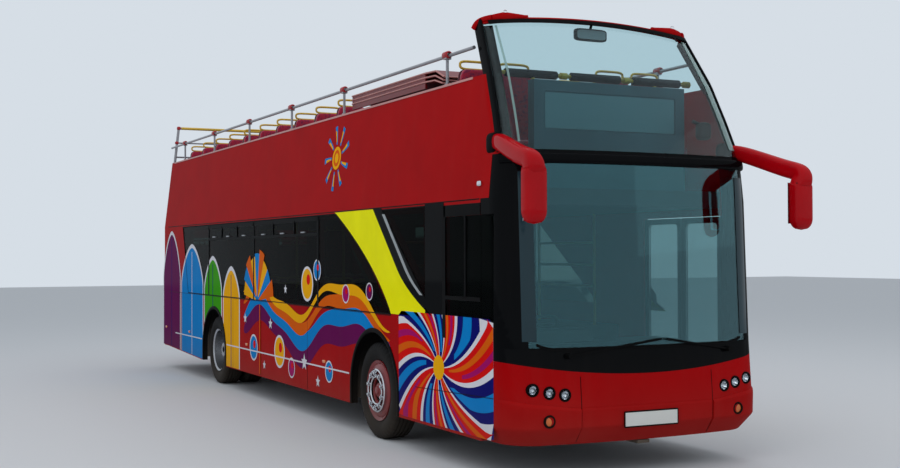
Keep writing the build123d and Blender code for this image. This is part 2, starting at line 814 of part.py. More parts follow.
# Engine, as one plain block between the rear rails' cross members
engine_half = 380
with BuildPart() as engine_block:
    box(
        (-engine_half, aft(wheelbase + 1655), 420),
        (engine_half, aft(chassis_rear - 150), rear_floor_z - floor_deep - 10),
    )
    for side in (-1, 1):
        edges = sorted((side * engine_half, side * (rail_x - rail_wide / 2 - seat_gap)))
        box((edges[0], aft(wheelbase + 1995), rear_rail_low + 20), (edges[1], aft(chassis_rear - 450), rear_rail_low + 100))
finish(engine_block.part, "engine_block")

# Steering knuckles with their lugs, spindles and arms, and the track rod between the arms
arm_x = kingpin_x
for name, side in (("left", 1), ("right", -1)):
    with BuildPart() as knuckle:
        lug_z = boss_half + lug_gap
        for low in (hub_z + lug_z, hub_z - lug_z - lug_deep):
            with Locations((side * kingpin_x, aft(0), low)):
                Cylinder(48, lug_deep, align=(Align.CENTER, Align.CENTER, Align.MIN))
            edges = sorted((side * kingpin_x, side * (kingpin_x + 100)))
            box((edges[0], aft(-48), low), (edges[1], aft(48), low + lug_deep))
        edges = sorted((side * (kingpin_x + 66), side * (kingpin_x + 106)))
        box((edges[0], aft(-60), hub_z - lug_z - lug_deep), (edges[1], aft(60), hub_z + lug_z + lug_deep))
        with Locations((side * (kingpin_x + 80), aft(0), hub_z)):
            Cylinder(
                spindle_r,
                front_wheel_x + 60 - kingpin_x - 80,
                rotation=(0, side * 90, 0),
                align=(Align.CENTER, Align.CENTER, Align.MIN),
            )
        low = hub_z - lug_z - lug_deep
        edges = sorted((side * (kingpin_x - 25), side * (kingpin_x + 25)))
        box((edges[0], aft(0), low), (edges[1], aft(arm_reach + 25), low + lug_deep))
        with Locations((side * arm_x, aft(arm_reach), rod_z - 25)):
            Cylinder(rod_r, low - rod_z + 30, align=(Align.CENTER, Align.CENTER, Align.MIN))
        with Locations((side * kingpin_x, aft(0), hub_z)):
            Hole(kingpin_r + running)
            Cylinder(boss_r + 6, 2 * (boss_half + lug_gap - 0.5), mode=Mode.SUBTRACT)
    finish(knuckle.part, f"knuckle_{name}")

with BuildPart() as track_rod:
    with Locations((0, aft(arm_reach), rod_z)):
        Cylinder(rod_r, 2 * (arm_x - 20), rotation=(0, 90, 0))
    for side in (-1, 1):
        with Locations((side * arm_x, aft(arm_reach), rod_z)):
            Cylinder(30, 40)
    for side, clear in ((-1, 1), (1, running)):
        with Locations((side * arm_x, aft(arm_reach), rod_z)):
            Cylinder(rod_r + clear, 60, mode=Mode.SUBTRACT)
finish(track_rod.part, "track_rod")


def tyre_section(x):
    """Half section of a tyre about the line y = 0, centred at this place along its axle."""
    half = tyre_width / 2
    with BuildSketch(Plane.XY) as section:
        with BuildLine():
            Polyline((x - half + 34, rim_lip), (x - half + 6, rim_lip + 40))
            ThreePointArc((x - half + 6, rim_lip + 40), (x - half, rim_lip + 95), (x - half + 16, tyre_r - 26))
            Polyline(
                (x - half + 16, tyre_r - 26),
                (x - half + 36, tyre_r),
                (x + half - 36, tyre_r),
                (x + half - 16, tyre_r - 26),
            )
            ThreePointArc((x + half - 16, tyre_r - 26), (x + half, rim_lip + 95), (x + half - 6, rim_lip + 40))
            Polyline((x + half - 6, rim_lip + 40), (x + half - 34, rim_lip), (x - half + 34, rim_lip))
        make_face()
    return section.sketch


def wheel_solid(section, axle):
    """A section turned about the X axis and set at an axle."""
    with BuildPart() as turned:
        revolve(section, Axis.X)
    return turned.part.moved(Location((0, aft(axle), hub_z)))


hand_holes = 10
hand_hole_r = 24
hand_hole_place = 195


def rim_solid(points, axle, disc_x):
    """A rim turned from the corner points of its half section, with hand holes through its disc."""
    with BuildPart() as rim:
        add(wheel_solid(rim_section(points), axle))
        with BuildSketch(Plane((disc_x, aft(axle), hub_z), x_dir=(0, 1, 0), z_dir=(1, 0, 0))):
            with PolarLocations(hand_hole_place, hand_holes):
                Circle(hand_hole_r)
        extrude(amount=60, both=True, mode=Mode.SUBTRACT)
    return rim.part


def rim_section(points):
    """Half section of a rim from its corner points."""
    with BuildSketch(Plane.XY) as section:
        with BuildLine():
            Polyline(*points, close=True)
        make_face()
    return section.sketch


for name, side in (("left", 1), ("right", -1)):
    front_points = [
        (side * (front_wheel_x + dx), r)
        for dx, r in (
            (-20, spindle_r + running),
            (75, spindle_r + running),
            (75, 88),
            (62, 100),
            (62, 122),
            (20, 135),
            (24, 215),
            (100, 268),
            (118, rim_lip - seat_gap),
            (-118, rim_lip - seat_gap),
            (-110, rim_r - 8),
            (40, rim_r - 20),
            (4, 225),
            (0, 150),
            (-20, 120),
        )
    ]
    finish(rim_solid(front_points, 0, side * front_wheel_x), f"rim_front_{name}")
    finish(wheel_solid(tyre_section(side * front_wheel_x), 0), f"tyre_front_{name}")
    middle_x = (rear_outer_x + rear_inner_x) / 2
    rear_points = [
        (side * x, r)
        for x, r in (
            (middle_x - 120, rear_spindle_r + running),
            (rear_outer_x + 50, rear_spindle_r + running),
            (rear_outer_x + 50, 96),
            (rear_outer_x - 20, 118),
            (rear_outer_x - 40, 150),
            (middle_x + 14, 160),
            (middle_x + 14, 235),
            (middle_x + 40, 262),
            (rear_outer_x + 104, 276),
            (rear_outer_x + 118, rim_lip - seat_gap),
            (rear_outer_x - 118, rim_lip - seat_gap),
            (rear_outer_x - 118, rim_r),
            (rear_inner_x + 118, rim_r),
            (rear_inner_x + 118, rim_lip - seat_gap),
            (rear_inner_x - 118, rim_lip - seat_gap),
            (rear_inner_x - 104, 276),
            (middle_x - 40, 262),
            (middle_x - 14, 235),
            (middle_x - 14, 130),
            (middle_x - 120, 110),
        )
    ]
    finish(rim_solid(rear_points, wheelbase, side * middle_x), f"rim_rear_{name}")
    twin = Part(
        children=[
            wheel_solid(tyre_section(side * rear_outer_x), wheelbase),
            wheel_solid(tyre_section(side * rear_inner_x), wheelbase),
        ]
    )
    finish(twin, f"tyres_rear_{name}")

# Door leaves in the left side, each a frame with its pane, turning inwards on its outer edge
door_span = door_rear - door_front
leaf_wide = door_span / 2 - leaf_edge - 5
leaf_low = door_low_z + 8
leaf_high = door_high_z - 8
# name, place of the hinge, direction of the leaf from it
leaves = (("front", door_front + hinge_back, 1), ("rear", door_rear - hinge_back, -1))
for name, hinge, way in leaves:
    near, far = hinge - way * leaf_edge, hinge - way * leaf_edge + way * leaf_wide
    middle = aft((near + far) / 2)
    with BuildPart() as door_leaf:
        with BuildSketch(Plane.YZ.offset(leaf_inner_x)):
            with Locations((middle, (leaf_low + leaf_high) / 2)):
                RectangleRounded(leaf_wide, leaf_high - leaf_low, 20)
                RectangleRounded(
                    leaf_wide - 2 * leaf_frame, leaf_high - leaf_low - 2 * leaf_frame, 40, mode=Mode.SUBTRACT
                )
        extrude(amount=leaf_thick)
        for end_z, reach in ((leaf_low, -1), (leaf_high, 1)):
            with Locations((leaf_inner_x + leaf_thick / 2, aft(hinge), end_z + reach * 10)):
                Cylinder(hinge_pin_r, 30)
    finish(door_leaf.part, f"door_leaf_{name}")
    with BuildPart() as door_pane:
        with BuildSketch(Plane.YZ.offset(leaf_inner_x + (leaf_thick - glass_thick) / 2)):
            with Locations((middle, (leaf_low + leaf_high) / 2)):
                RectangleRounded(
                    leaf_wide - 2 * leaf_frame - 2 * seat_gap,
                    leaf_high - leaf_low - 2 * leaf_frame - 2 * seat_gap,
                    40 - seat_gap,
                )
        extrude(amount=glass_thick)
    finish(door_pane.part, f"door_glass_{name}")

# Seats, each bench of two places with its pedestal, cushion, two backs and a yellow hoop on each back
bench_out = body_half - 165
bench_in = 330
lower_bench_shift = 40
back_gap = 24
back_top = 1095
back_thick = 66
cushion_z = 430
cushion_deep = 70
cushion_long = 366
hoop_high = 62
row_pitch = 720
last_row = tail - 1105


def rows_from(first):
    """Places of the backs from the first row to the tail."""
    return tuple(first + row * row_pitch for row in range(int((last_row - first) // row_pitch) + 1))


seat_rows = {
    "right": (-1500,) + rows_from(1520),
    "left": (-1500, -1500 + row_pitch, -1500 + 2 * row_pitch) + rows_from(800),
}


def prism(points, low_x, high_x):
    """A solid between two places across the bus, from its outline along the bus and up."""
    with BuildPart() as solid:
        with BuildSketch(Plane.YZ.offset(low_x)):
            with BuildLine():
                Polyline(*points, close=True)
            make_face()
        extrude(amount=high_x - low_x)
    return solid.part


def bench(side, back_place, floor, outer, inner):
    """The pedestal, cushion and backs of a bench, whose backs end at this place."""
    y = aft(back_place)
    seat_z = floor + cushion_z
    low, high = sorted((side * outer, side * inner))
    middle = (low + high) / 2
    with BuildPart() as pedestal:
        box((middle - 150, y - 330, floor), (middle + 150, y - 230, seat_z - cushion_deep - seat_gap))
    crook = y - 500 + cushion_long
    cushion = (
        (y - 500, seat_z - cushion_deep),
        (y - 500, seat_z),
        (crook, seat_z - 15),
        (crook, seat_z - cushion_deep),
    )
    back = (
        (crook + seat_gap, seat_z - cushion_deep),
        (y + 6 - back_thick, floor + back_top),
        (y, floor + back_top),
        (crook + seat_gap + back_thick, seat_z - cushion_deep),
    )
    return [
        pedestal.part,
        prism(cushion, low, high),
        prism(back, low, middle - back_gap / 2),
        prism(back, middle + back_gap / 2, high),
    ]


def hoop(side, back_place, floor, centre_x):
    """A grab hoop over one back, from a square bar."""
    back_wide = (bench_out - bench_in - back_gap) / 2
    half, bar, top = back_wide / 2 - 45, 22, floor + back_top + seat_gap
    with BuildPart() as loop:
        with BuildSketch(Plane.XZ.offset(-aft(back_place - 20))):
            with BuildLine():
                Polyline(
                    (side * centre_x - half, top),
                    (side * centre_x - half, top + hoop_high - 26),
                    (side * centre_x - half + 26, top + hoop_high),
                    (side * centre_x + half - 26, top + hoop_high),
                    (side * centre_x + half, top + hoop_high - 26),
                    (side * centre_x + half, top),
                    (side * centre_x + half - bar, top),
                    (side * centre_x + half - bar, top + hoop_high - 36),
                    (side * centre_x + half - 36, top + hoop_high - bar),
                    (side * centre_x - half + 36, top + hoop_high - bar),
                    (side * centre_x - half + bar, top + hoop_high - 36),
                    (side * centre_x - half + bar, top),
                    close=True,
                )
            make_face()
        extrude(amount=bar)
    return loop.part


benches = []
hoops = []
for name, (side, _) in sides.items():
    for place in seat_rows[name]:
        benches.extend(bench(side, place, upper_floor_z + seat_gap, bench_out, bench_in))
        for shift in (-1, 1):
            centre_x = (bench_out + bench_in) / 2 + shift * (bench_out - bench_in + back_gap) / 4
            hoops.append(hoop(side, place, upper_floor_z + seat_gap, centre_x))
finish(Part(children=benches), "upper_seats")
finish(Part(children=hoops), "seat_hoops")

lower_pitch = 800
lower_rows = {
    "right": [(riser_at - 550 - row * lower_pitch, floor_z) for row in range(4)],
    "left": [(riser_at - 1050 - row * lower_pitch, floor_z) for row in range(4)],
}
raised_rows = [(wheelbase - 105 + row * lower_pitch, rear_floor_z) for row in range(4)]
box_top = wheel_boxes[1][4] + box_skin
box_reach = wheel_boxes[1][3] + box_skin
benches = []
for name, (side, _) in sides.items():
    for place, floor in lower_rows[name] + raised_rows:
        over_box = place > wheelbase - box_reach and place - 500 < wheelbase + box_reach
        base = (box_top if over_box else floor) + seat_gap
        benches.extend(bench(side, place, base, bench_out + lower_bench_shift, bench_in + lower_bench_shift / 2))

driver_x = 615 - body_half
driver_half = 240
driver_back = front_split + 650
driver_seat_z = floor_z + 420
with BuildPart() as driver_post:
    box(
        (driver_x - 160, aft(driver_back - 350), floor_z + seat_gap),
        (driver_x + 160, aft(driver_back - 110), driver_seat_z - 100 - seat_gap),
    )
y = aft(driver_back)
driver_cushion = (
    (y - 480, driver_seat_z - 100),
    (y - 480, driver_seat_z),
    (y - 120, driver_seat_z - 10),
    (y - 120, driver_seat_z - 100),
)
driver_rest = (
    (y - 120 + seat_gap, driver_seat_z - 100),
    (y - 40, driver_seat_z + 700),
    (y + 40, driver_seat_z + 700),
    (y - 20, driver_seat_z - 100),
)
benches.append(driver_post.part)
for shape in (driver_cushion, driver_rest):
    benches.append(prism(shape, driver_x - driver_half, driver_x + driver_half))
finish(Part(children=benches), "lower_seats")

# Hood over the stairs: three nested sheets whose front ends turn down, on a low wall
hood_front, hood_rear = well_front - 140, well_rear - 20
hood_x = (stair_x[0] + 85, stair_x[1] + 50)
hood_skin = 14
hood_step = 42
hood_low = rail_z + 42
with BuildPart() as stair_hood:
    for layer in range(3):
        top = hood_low + 26 + (layer + 1) * hood_step
        front = hood_front + (2 - layer) * 12
        drop = 60 + layer * 14
        with BuildSketch(Plane.YZ.offset(hood_x[0])):
            with BuildLine():
                Polyline(
                    (aft(hood_rear), top),
                    (aft(front + 420), top),
                    (aft(front + 180), top - 10),
                    (aft(front), top - drop),
                    (aft(front), top - drop - hood_skin),
                    (aft(front + 180), top - 12 - hood_skin),
                    (aft(front + 420), top - hood_skin),
                    (aft(hood_rear), top - hood_skin),
                    close=True,
                )
            make_face()
        extrude(amount=hood_x[1] - hood_x[0])
    for x in hood_x:
        edges = sorted((x, x + (20 if x == hood_x[0] else -20)))
        box((edges[0], aft(hood_front + 420), hood_low), (edges[1], aft(hood_rear), hood_low + 26 + 3 * hood_step - 4))
finish(stair_hood.part, "stair_hood")

stair_wall_thick = 30
wall_low, wall_high = upper_floor_z + seat_gap, hood_low - seat_gap
with BuildPart() as stair_side_wall:
    box(
        (stair_x[1] + 2, aft(well_front), wall_low),
        (stair_x[1] + 2 + stair_wall_thick, aft(well_rear - 700), wall_high),
    )
with BuildPart() as stair_front_wall:
    box(
        (stair_x[0] + 130, aft(well_front - stair_wall_thick), wall_low),
        (stair_x[1] + 2 + stair_wall_thick, aft(well_front) - seat_gap, wall_high),
    )

# Handrails along both sides, on posts with clamps
post_first = 1105
post_pitch = (tail - 1025 - post_first) / 4
post_places = (-1435,) + tuple(post_first + bay * post_pitch for bay in range(5))
handrail_z = rail_z + 262
handrail_r = 16
handrail_x = rail_half - 22
handrail_span = (corner_back - 60, upper_tail - 50)
rail_pieces = []
for name, (side, _) in sides.items():
    with BuildPart() as handrail:
        with Locations((side * handrail_x, aft(sum(handrail_span) / 2), handrail_z)):
            Cylinder(handrail_r, handrail_span[1] - handrail_span[0], rotation=(90, 0, 0))
    rail_pieces.append(handrail.part)
    for place in post_places:
        with BuildPart() as post:
            with Locations((side * handrail_x, aft(place), rail_z + seat_gap)):
                Cylinder(14, handrail_z - rail_z, align=(Align.CENTER, Align.CENTER, Align.MIN))
                Cylinder(26, 12, align=(Align.CENTER, Align.CENTER, Align.MIN))
            with Locations((side * handrail_x, aft(place), handrail_z)):
                Box(52, 60, 62)
        rail_pieces.append(post.part - handrail.part)
finish(Part(children=rail_pieces), "handrails")

# Guard across the tail: two uprights that lean in, and three bars between them
guard_place = upper_tail - 50
guard_foot_x = rail_half - 66
guard_top_x = guard_foot_x - 66
guard_r = 22
guard_flange = 12
guard_high = guard_top - rail_z
guard_lean = math.degrees(math.atan2(guard_foot_x - guard_top_x, guard_high))
guard_pieces = []
# share of the guard's height, radius
with BuildPart() as guard_bars:
    for share, r in ((1, 20), (0.59, 12), (0.19, 14)):
        half = guard_foot_x + share * (guard_top_x - guard_foot_x)
        with Locations((0, aft(guard_place), rail_z + share * guard_high)):
            Cylinder(r, 2 * half, rotation=(0, 90, 0))
for side in (-1, 1):
    with BuildPart() as upright:
        with Locations((side * guard_foot_x, aft(guard_place), rail_z + seat_gap)):
            Cylinder(guard_r + 14, guard_flange, align=(Align.CENTER, Align.CENTER, Align.MIN))
        with Locations((side * guard_foot_x, aft(guard_place), rail_z + guard_flange / 2)):
            Cylinder(
                guard_r, guard_high, rotation=(0, -side * guard_lean, 0), align=(Align.CENTER, Align.CENTER, Align.MIN)
            )
    guard_pieces.append(upright.part - guard_bars.part)
guard_pieces.extend(Part(bar.wrapped) for bar in guard_bars.part.solids())
finish(Part(children=guard_pieces), "rear_guard")

# Grab rail behind the upper screen: a yellow tube with three padded sleeves and uprights
grab_z = rail_z + 45
grab_place = front_split + 220
grab_half = body_half - 235
with BuildPart() as front_grab_rail:
    with Locations((0, aft(grab_place), grab_z)):
        Cylinder(17, 2 * grab_half, rotation=(0, 90, 0))
    for side in (-1, 1):
        with Locations((side * 640, aft(grab_place), upper_floor_z + seat_gap)):
            Cylinder(17, grab_z - upper_floor_z, align=(Align.CENTER, Align.CENTER, Align.MIN))
    for x in (-660, 0, 660):
        with Locations((x, aft(grab_place), grab_z)):
            Cylinder(36, 520, rotation=(0, 90, 0))
finish(front_grab_rail.part, "front_grab_rail")

# Destination box behind the upper screen, with a shallow blank window, on the front of the upper floor
sign_x = (555 - body_half, body_half - 415)
sign_place = (front_split + 65, front_split + 165)
sign_top = rail_z - 20
sign_window = (1380, 330)
sign_window_z = sign_top - 260
with BuildPart() as sign_box:
    box((sign_x[0], aft(sign_place[0]), upper_floor_z + seat_gap), (sign_x[1], aft(sign_place[1]), sign_top))
    with BuildSketch(Plane.XZ.offset(-aft(sign_place[0]))):
        with Locations((sum(sign_x) / 2, sign_window_z)):
            RectangleRounded(*sign_window, 20)
    extrude(amount=-12, mode=Mode.SUBTRACT)
finish(sign_box.part, "sign_box")

# Dashboard with its hooded instrument cowl, the driver's seat and the partition behind it
dash_high = 1100
dash_rear = front_split + 20
dash_x = (175 - body_half, 460)
dash_cowl = 640
with BuildPart() as dashboard:
    for low_z, high_z, long in ((floor_z, dash_high - 120, 320), (dash_high - 120, dash_high, 410)):
        box((dash_x[0], aft(dash_rear - long), low_z + seat_gap), (dash_x[1], aft(dash_rear), high_z + seat_gap))
    with BuildSketch(Plane.YZ.offset(driver_x - dash_cowl / 2)):
        with BuildLine():
            Polyline(
                (aft(dash_rear - 280), dash_high),
                (aft(dash_rear - 220), dash_high + 90),
                (aft(dash_rear - 120), dash_high + 110),
                (aft(dash_rear + 20), dash_high + 20),
                (aft(dash_rear), dash_high),
                close=True,
            )
        make_face()
    extrude(amount=dash_cowl)
with BuildPart() as steering_wheel:
    with BuildSketch(Plane.XY):
        with Locations((215, 0)):
            Circle(15)
    revolve(axis=Axis.Y)
    Cylinder(45, 30, rotation=(90, 0, 0))
    for angle in (-90, 30, 150):
        turn = math.radians(angle)
        with Locations(Location((110 * math.cos(turn), 0, 110 * math.sin(turn)), (0, -angle, 0))):
            Box(190, 14, 34)
    with Locations((0, -15, 0)):
        Cylinder(24, 400, rotation=(90, 0, 0), align=(Align.CENTER, Align.CENTER, Align.MIN))
wheel_at = Location((driver_x, aft(dash_rear + 170), dash_high + 105), (62, 0, 0))
finish(dashboard.part + steering_wheel.part.moved(wheel_at), "dashboard")

with BuildPart() as cab_partition:
    box((5 - floor_half, aft(driver_back + 60), floor_z + seat_gap), (driver_x + 330, aft(driver_back + 90), 2200))
finish(Part(children=[stair_side_wall.part, stair_front_wall.part, cab_partition.part]), "partitions")

# Mirrors: a root on the corner, a thick arm that droops straight forward to a sharp elbow, and a tall head
mirror_arm_r = 60
mirror_head_size = (186, 120, 400)
mirror_head = (body_half + 25, 60 - mirror_reach, band_z - 390)
mirror_route = (
    (body_half - 115, -2450, band_z + 60),
    (body_half - 5, -2560, band_z + 105),
    (body_half + 56, mirror_head[1] + 4, band_z - 88),
    (mirror_head[0], mirror_head[1], mirror_head[2] + mirror_head_size[2] / 2 - 10),
)
face_wide, face_high = 150, 350
body_skins = windscreen_frame.part + upper_screen_frame.part + windscreen_upper.part
for upper_side in upper_sides:
    body_skins += upper_side
mirrors = []
mirror_faces = []
for side in (-1, 1):
    route_points = [(side * x, aft(place), z) for x, place, z in mirror_route]
    head = (side * mirror_head[0], aft(mirror_head[1]), mirror_head[2])
    with BuildPart() as mirror:
        with BuildLine() as route:
            FilletPolyline(*route_points, radius=mirror_arm_r + 5)
        with BuildSketch(Plane(origin=route.line @ 0, z_dir=route.line % 0)):
            Circle(mirror_arm_r)
        sweep(path=route.line)
        with Locations(head):
            Box(*mirror_head_size)
        fillet(mirror.part.edges().filter_by(Axis.Z).group_by(Axis.Z)[0], 40)
    outside = (mirror.part - body_skins).solids().sort_by(SortBy.VOLUME)[-1]
    mirrors.append(Part(outside.wrapped))
    with BuildPart() as mirror_glass:
        with Locations((head[0], head[1] + mirror_head_size[1] / 2 + seat_gap, head[2])):
            Box(face_wide, 4, face_high, align=(Align.CENTER, Align.MIN, Align.CENTER))
    mirror_faces.append(mirror_glass.part)
finish(Part(children=mirrors), "mirrors")
finish(Part(children=mirror_faces), "mirror_glass")

# Front lamps in their holes, rear lamps in columns, blank plates, wipers
lamp_inset = 12
with BuildPart() as front_lamps:
    for lamp_x, lamp_z in lamp_centres:
        for side in (-1, 1):
            with Locations((side * lamp_x, face_y(lower_front, lamp_z, lamp_x) + lamp_inset, lamp_z)):
                Cylinder(lamp_r - seat_gap, 50, rotation=(-90, 0, 0), align=(Align.CENTER, Align.CENTER, Align.MIN))
finish(front_lamps.part, "front_lamps")

with BuildPart() as rear_lamps:
    for side in (-1, 1):
        for lamp_z in (700, 820, 940, 1060, 1180):
            with Locations((side * (body_half - 240), aft(tail), lamp_z)):
                Cylinder(
                    48, rear_lamp_deep, rotation=(-90, 0, 0), align=(Align.CENTER, Align.CENTER, Align.MIN)
                )
finish(rear_lamps.part, "rear_lamps")

plate_wide, plate_high = 520, 111
with BuildPart() as plates:
    box(
        (-plate_wide / 2, aft(-front_overhang) - 6, 474 - plate_high / 2),
        (plate_wide / 2, aft(-front_overhang) + 20, 474 + plate_high / 2),
    )
    box(
        (-plate_wide / 2, aft(tail), 480 - plate_high / 2),
        (plate_wide / 2, aft(tail) + 5, 480 + plate_high / 2),
    )
finish(plates.part - front_bumper.part, "number_plates")

with BuildPart() as wipers:
    for root_x, tip_x in ((-760, 120), (860, 180)):
        ends = []
        for x, z in ((root_x, screen_low_z - 65), (tip_x, screen_low_z + 45)):
            ends.append((x, face_y(lower_front, z, abs(x)) - 22, z))
        with BuildLine() as arm:
            Line(*ends)
        with BuildSketch(Plane(origin=arm.line @ 0, z_dir=arm.line % 0)):
            Rectangle(16, 16)
        sweep(path=arm.line)
        with Locations(ends[0]):
            Cylinder(24, 60, rotation=(90, 0, 0))
wiper_arms = [Part(arm.wrapped) for arm in (wipers.part - windscreen_frame.part).solids()]
finish(Part(children=wiper_arms), "wipers")
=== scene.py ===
"""Looks of an open top double decker bus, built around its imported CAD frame.

The camera, a plain studio, every finish and the visible details are made here. Lengths are
metres in the frame's own axes: +Z up, the bus faces -Y, +X is its left side. Places along
the bus are given as distances behind the front axle, as in the CAD source.
"""

import json
import math

import bmesh
import bpy
import numpy as np
from mathutils import Matrix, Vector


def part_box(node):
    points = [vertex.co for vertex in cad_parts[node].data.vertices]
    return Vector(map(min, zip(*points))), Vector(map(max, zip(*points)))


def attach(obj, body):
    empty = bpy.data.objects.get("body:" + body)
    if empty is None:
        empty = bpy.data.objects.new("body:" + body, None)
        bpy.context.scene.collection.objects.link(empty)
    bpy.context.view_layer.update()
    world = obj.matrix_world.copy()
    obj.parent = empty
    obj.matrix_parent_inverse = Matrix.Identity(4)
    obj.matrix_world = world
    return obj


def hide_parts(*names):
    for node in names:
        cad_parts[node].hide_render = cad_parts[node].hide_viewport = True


bl_info = {
    "name": "Open Top Double Decker Bus",
    "version": (1, 0, 0),
    "blender": (4, 5, 0),
    "location": "3D View > Sidebar > Bus",
    "description": "Builds the finishes and details of an open top double decker bus",
    "category": "Object",
}

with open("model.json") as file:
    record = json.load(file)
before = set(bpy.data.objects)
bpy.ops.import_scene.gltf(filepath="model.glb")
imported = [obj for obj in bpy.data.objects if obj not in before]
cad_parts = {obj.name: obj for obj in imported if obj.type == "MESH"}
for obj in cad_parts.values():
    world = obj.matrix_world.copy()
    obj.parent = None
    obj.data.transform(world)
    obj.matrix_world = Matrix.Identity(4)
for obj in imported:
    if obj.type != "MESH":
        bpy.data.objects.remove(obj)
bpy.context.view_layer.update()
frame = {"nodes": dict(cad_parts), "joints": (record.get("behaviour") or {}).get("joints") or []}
joint_place = {joint["name"]: joint["pos_m"] for joint in frame["joints"]}
front_axle = joint_place["steer_left"][1]
rear_axle = joint_place["roll_rear_left"][1]
hub_height = joint_place["roll_front_left"][2]
wheelbase = rear_axle - front_axle

# Heights and half widths of the body, as in the CAD source
body_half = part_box("lower_sides")[1][0]
deck_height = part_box("lower_sides")[1][2]
rail_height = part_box("upper_sides")[1][2]
skirt_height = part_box("lower_sides")[0][2]
rail_half = 1.172
arch_radius = 0.59
axles = (0.0, wheelbase)
glass_low = 1.255
glass_top = 2.268


def aft(place):
    """Frame Y of a place this far behind the front axle."""
    return front_axle + place


def wall_x(height):
    """Half width of the body at a height: upright up to the deck, leaning inwards above it."""
    lean = (body_half - rail_half) / (rail_height - deck_height)
    return body_half - lean * np.maximum(height - deck_height, 0)


# Numpy surfaces


def spread(low, high, count):
    """Evenly spaced values."""
    return np.linspace(low, high, count)


def grid(points):
    """Vertices and quads of a surface given as an array of points (rows, columns, 3)."""
    rows, columns = points.shape[:2]
    corner = np.arange(rows * columns).reshape(rows, columns)
    quads = np.stack([corner[:-1, :-1], corner[1:, :-1], corner[1:, 1:], corner[:-1, 1:]], axis=-1)
    return points.reshape(-1, 3), quads.reshape(-1, 4)


def merge(parts):
    """One set of vertices and quads from several."""
    counts = np.cumsum([0] + [len(points) for points, _ in parts[:-1]])
    points = np.concatenate([points for points, _ in parts])
    quads = np.concatenate([quads + count for (_, quads), count in zip(parts, counts)])
    return points, quads


def repeat(part, offsets):
    """A part copied to each offset, as whole arrays."""
    points, quads = part
    offsets = np.asarray(offsets, float)
    many = (points[None] + offsets[:, None]).reshape(-1, 3)
    turns = quads[None] + (np.arange(len(offsets)) * len(points))[:, None, None]
    return many, turns.reshape(-1, 4)


def flipped(part):
    """A part mirrored to the other side of the bus; its faces are turned outwards when it is built."""
    points, quads = part
    return points * np.array([-1, 1, 1]), quads


def both(part):
    """A part and its mirror image on the other side of the bus."""
    return merge([part, flipped(part)])


def closed_sheet(inner, outer):
    """Two copies of a surface, closed by the four strips round their edge."""
    stack = np.stack([inner, outer])
    strips = [stack[:, 0], stack[:, -1], stack[:, :, 0], stack[:, :, -1]]
    return merge([grid(stack[0]), grid(stack[1])] + [grid(strip) for strip in strips])


def slab(points, offset):
    """A closed sheet between a surface and its copy moved by an offset."""
    return closed_sheet(points, points + np.asarray(offset, float))


def turned(profile, centre, axis="X", segments=64, wobble=None):
    """A profile of (place along the axis, radius) rows turned about an axis through a centre.
    Wobble, if given, changes the radius by (row, angle)."""
    profile = np.asarray(profile, float)
    angle = spread(0, 2 * np.pi, segments + 1)
    along = np.repeat(profile[:, :1], segments + 1, axis=1)
    radius = np.repeat(profile[:, 1:2], segments + 1, axis=1)
    if wobble is not None:
        radius = radius + wobble(np.arange(len(profile))[:, None], angle[None])
    wide, high = radius * np.cos(angle), radius * np.sin(angle)
    order = {"X": (along, wide, high), "Y": (wide, along, high), "Z": (wide, high, along)}[axis]
    return grid(np.stack(order, axis=-1) + np.asarray(centre, float))


def frames(path, up):
    """Side and up vectors at each point of a path, from its direction and a fixed up vector."""
    direction = np.gradient(path, axis=0)
    direction /= np.linalg.norm(direction, axis=1, keepdims=True)
    side = np.cross(direction, np.asarray(up, float))
    side /= np.linalg.norm(side, axis=1, keepdims=True)
    return side, np.cross(side, direction)


def sweep(path, profile, up=(0, 0, 1), scale=None):
    """A closed profile of (side, up) rows carried along a path; the ends shrink to poles."""
    path, profile = np.asarray(path, float), np.asarray(profile, float)
    side, lift = frames(path, up)
    size = np.ones((len(path), 2)) if scale is None else np.asarray(scale, float)
    profile = np.vstack([profile, profile[:1]])[None] * size[:, None]
    points = path[:, None] + profile[..., :1] * side[:, None] + profile[..., 1:] * lift[:, None]
    first = np.repeat(path[None, :1], points.shape[1], axis=1)
    last = np.repeat(path[None, -1:], points.shape[1], axis=1)
    return grid(np.concatenate([first, points, last]))


def loop(path, profile, up):
    """A closed profile carried round a closed path, whose last point repeats its first."""
    path = np.asarray(path, float)
    ring = np.vstack([path[-2:-1], path, path[1:2]])
    side, lift = (part[1:-1] for part in frames(ring, up))
    profile = np.vstack([profile, profile[:1]])
    points = path[:, None] + profile[None, :, :1] * side[:, None] + profile[None, :, 1:] * lift[:, None]
    points[-1] = points[0]
    return grid(points)


def tube(start, end, radius, sides=12):
    """A straight round tube with closed ends."""
    upright = abs(end[2] - start[2]) > 0.9 * math.dist(start, end)
    return sweep(line(start, end), circle(radius, sides), up=(0, 1, 0) if upright else (0, 0, 1))


def circle(radius, sides=12):
    """A round profile for sweep."""
    angle = np.linspace(0, 2 * np.pi, sides, endpoint=False)
    return radius * np.stack([np.cos(angle), np.sin(angle)], axis=-1)


def line(start, end, count=2):
    """Points in a straight line."""
    share = spread(0, 1, count)[:, None]
    return np.asarray(start, float) * (1 - share) + np.asarray(end, float) * share


def polyline(corners, count):
    """Points along the straight legs between corners, with count points on each leg."""
    legs = [line(start, end, count)[:-1] for start, end in zip(corners, corners[1:])]
    return np.vstack(legs + [corners[-1:]])


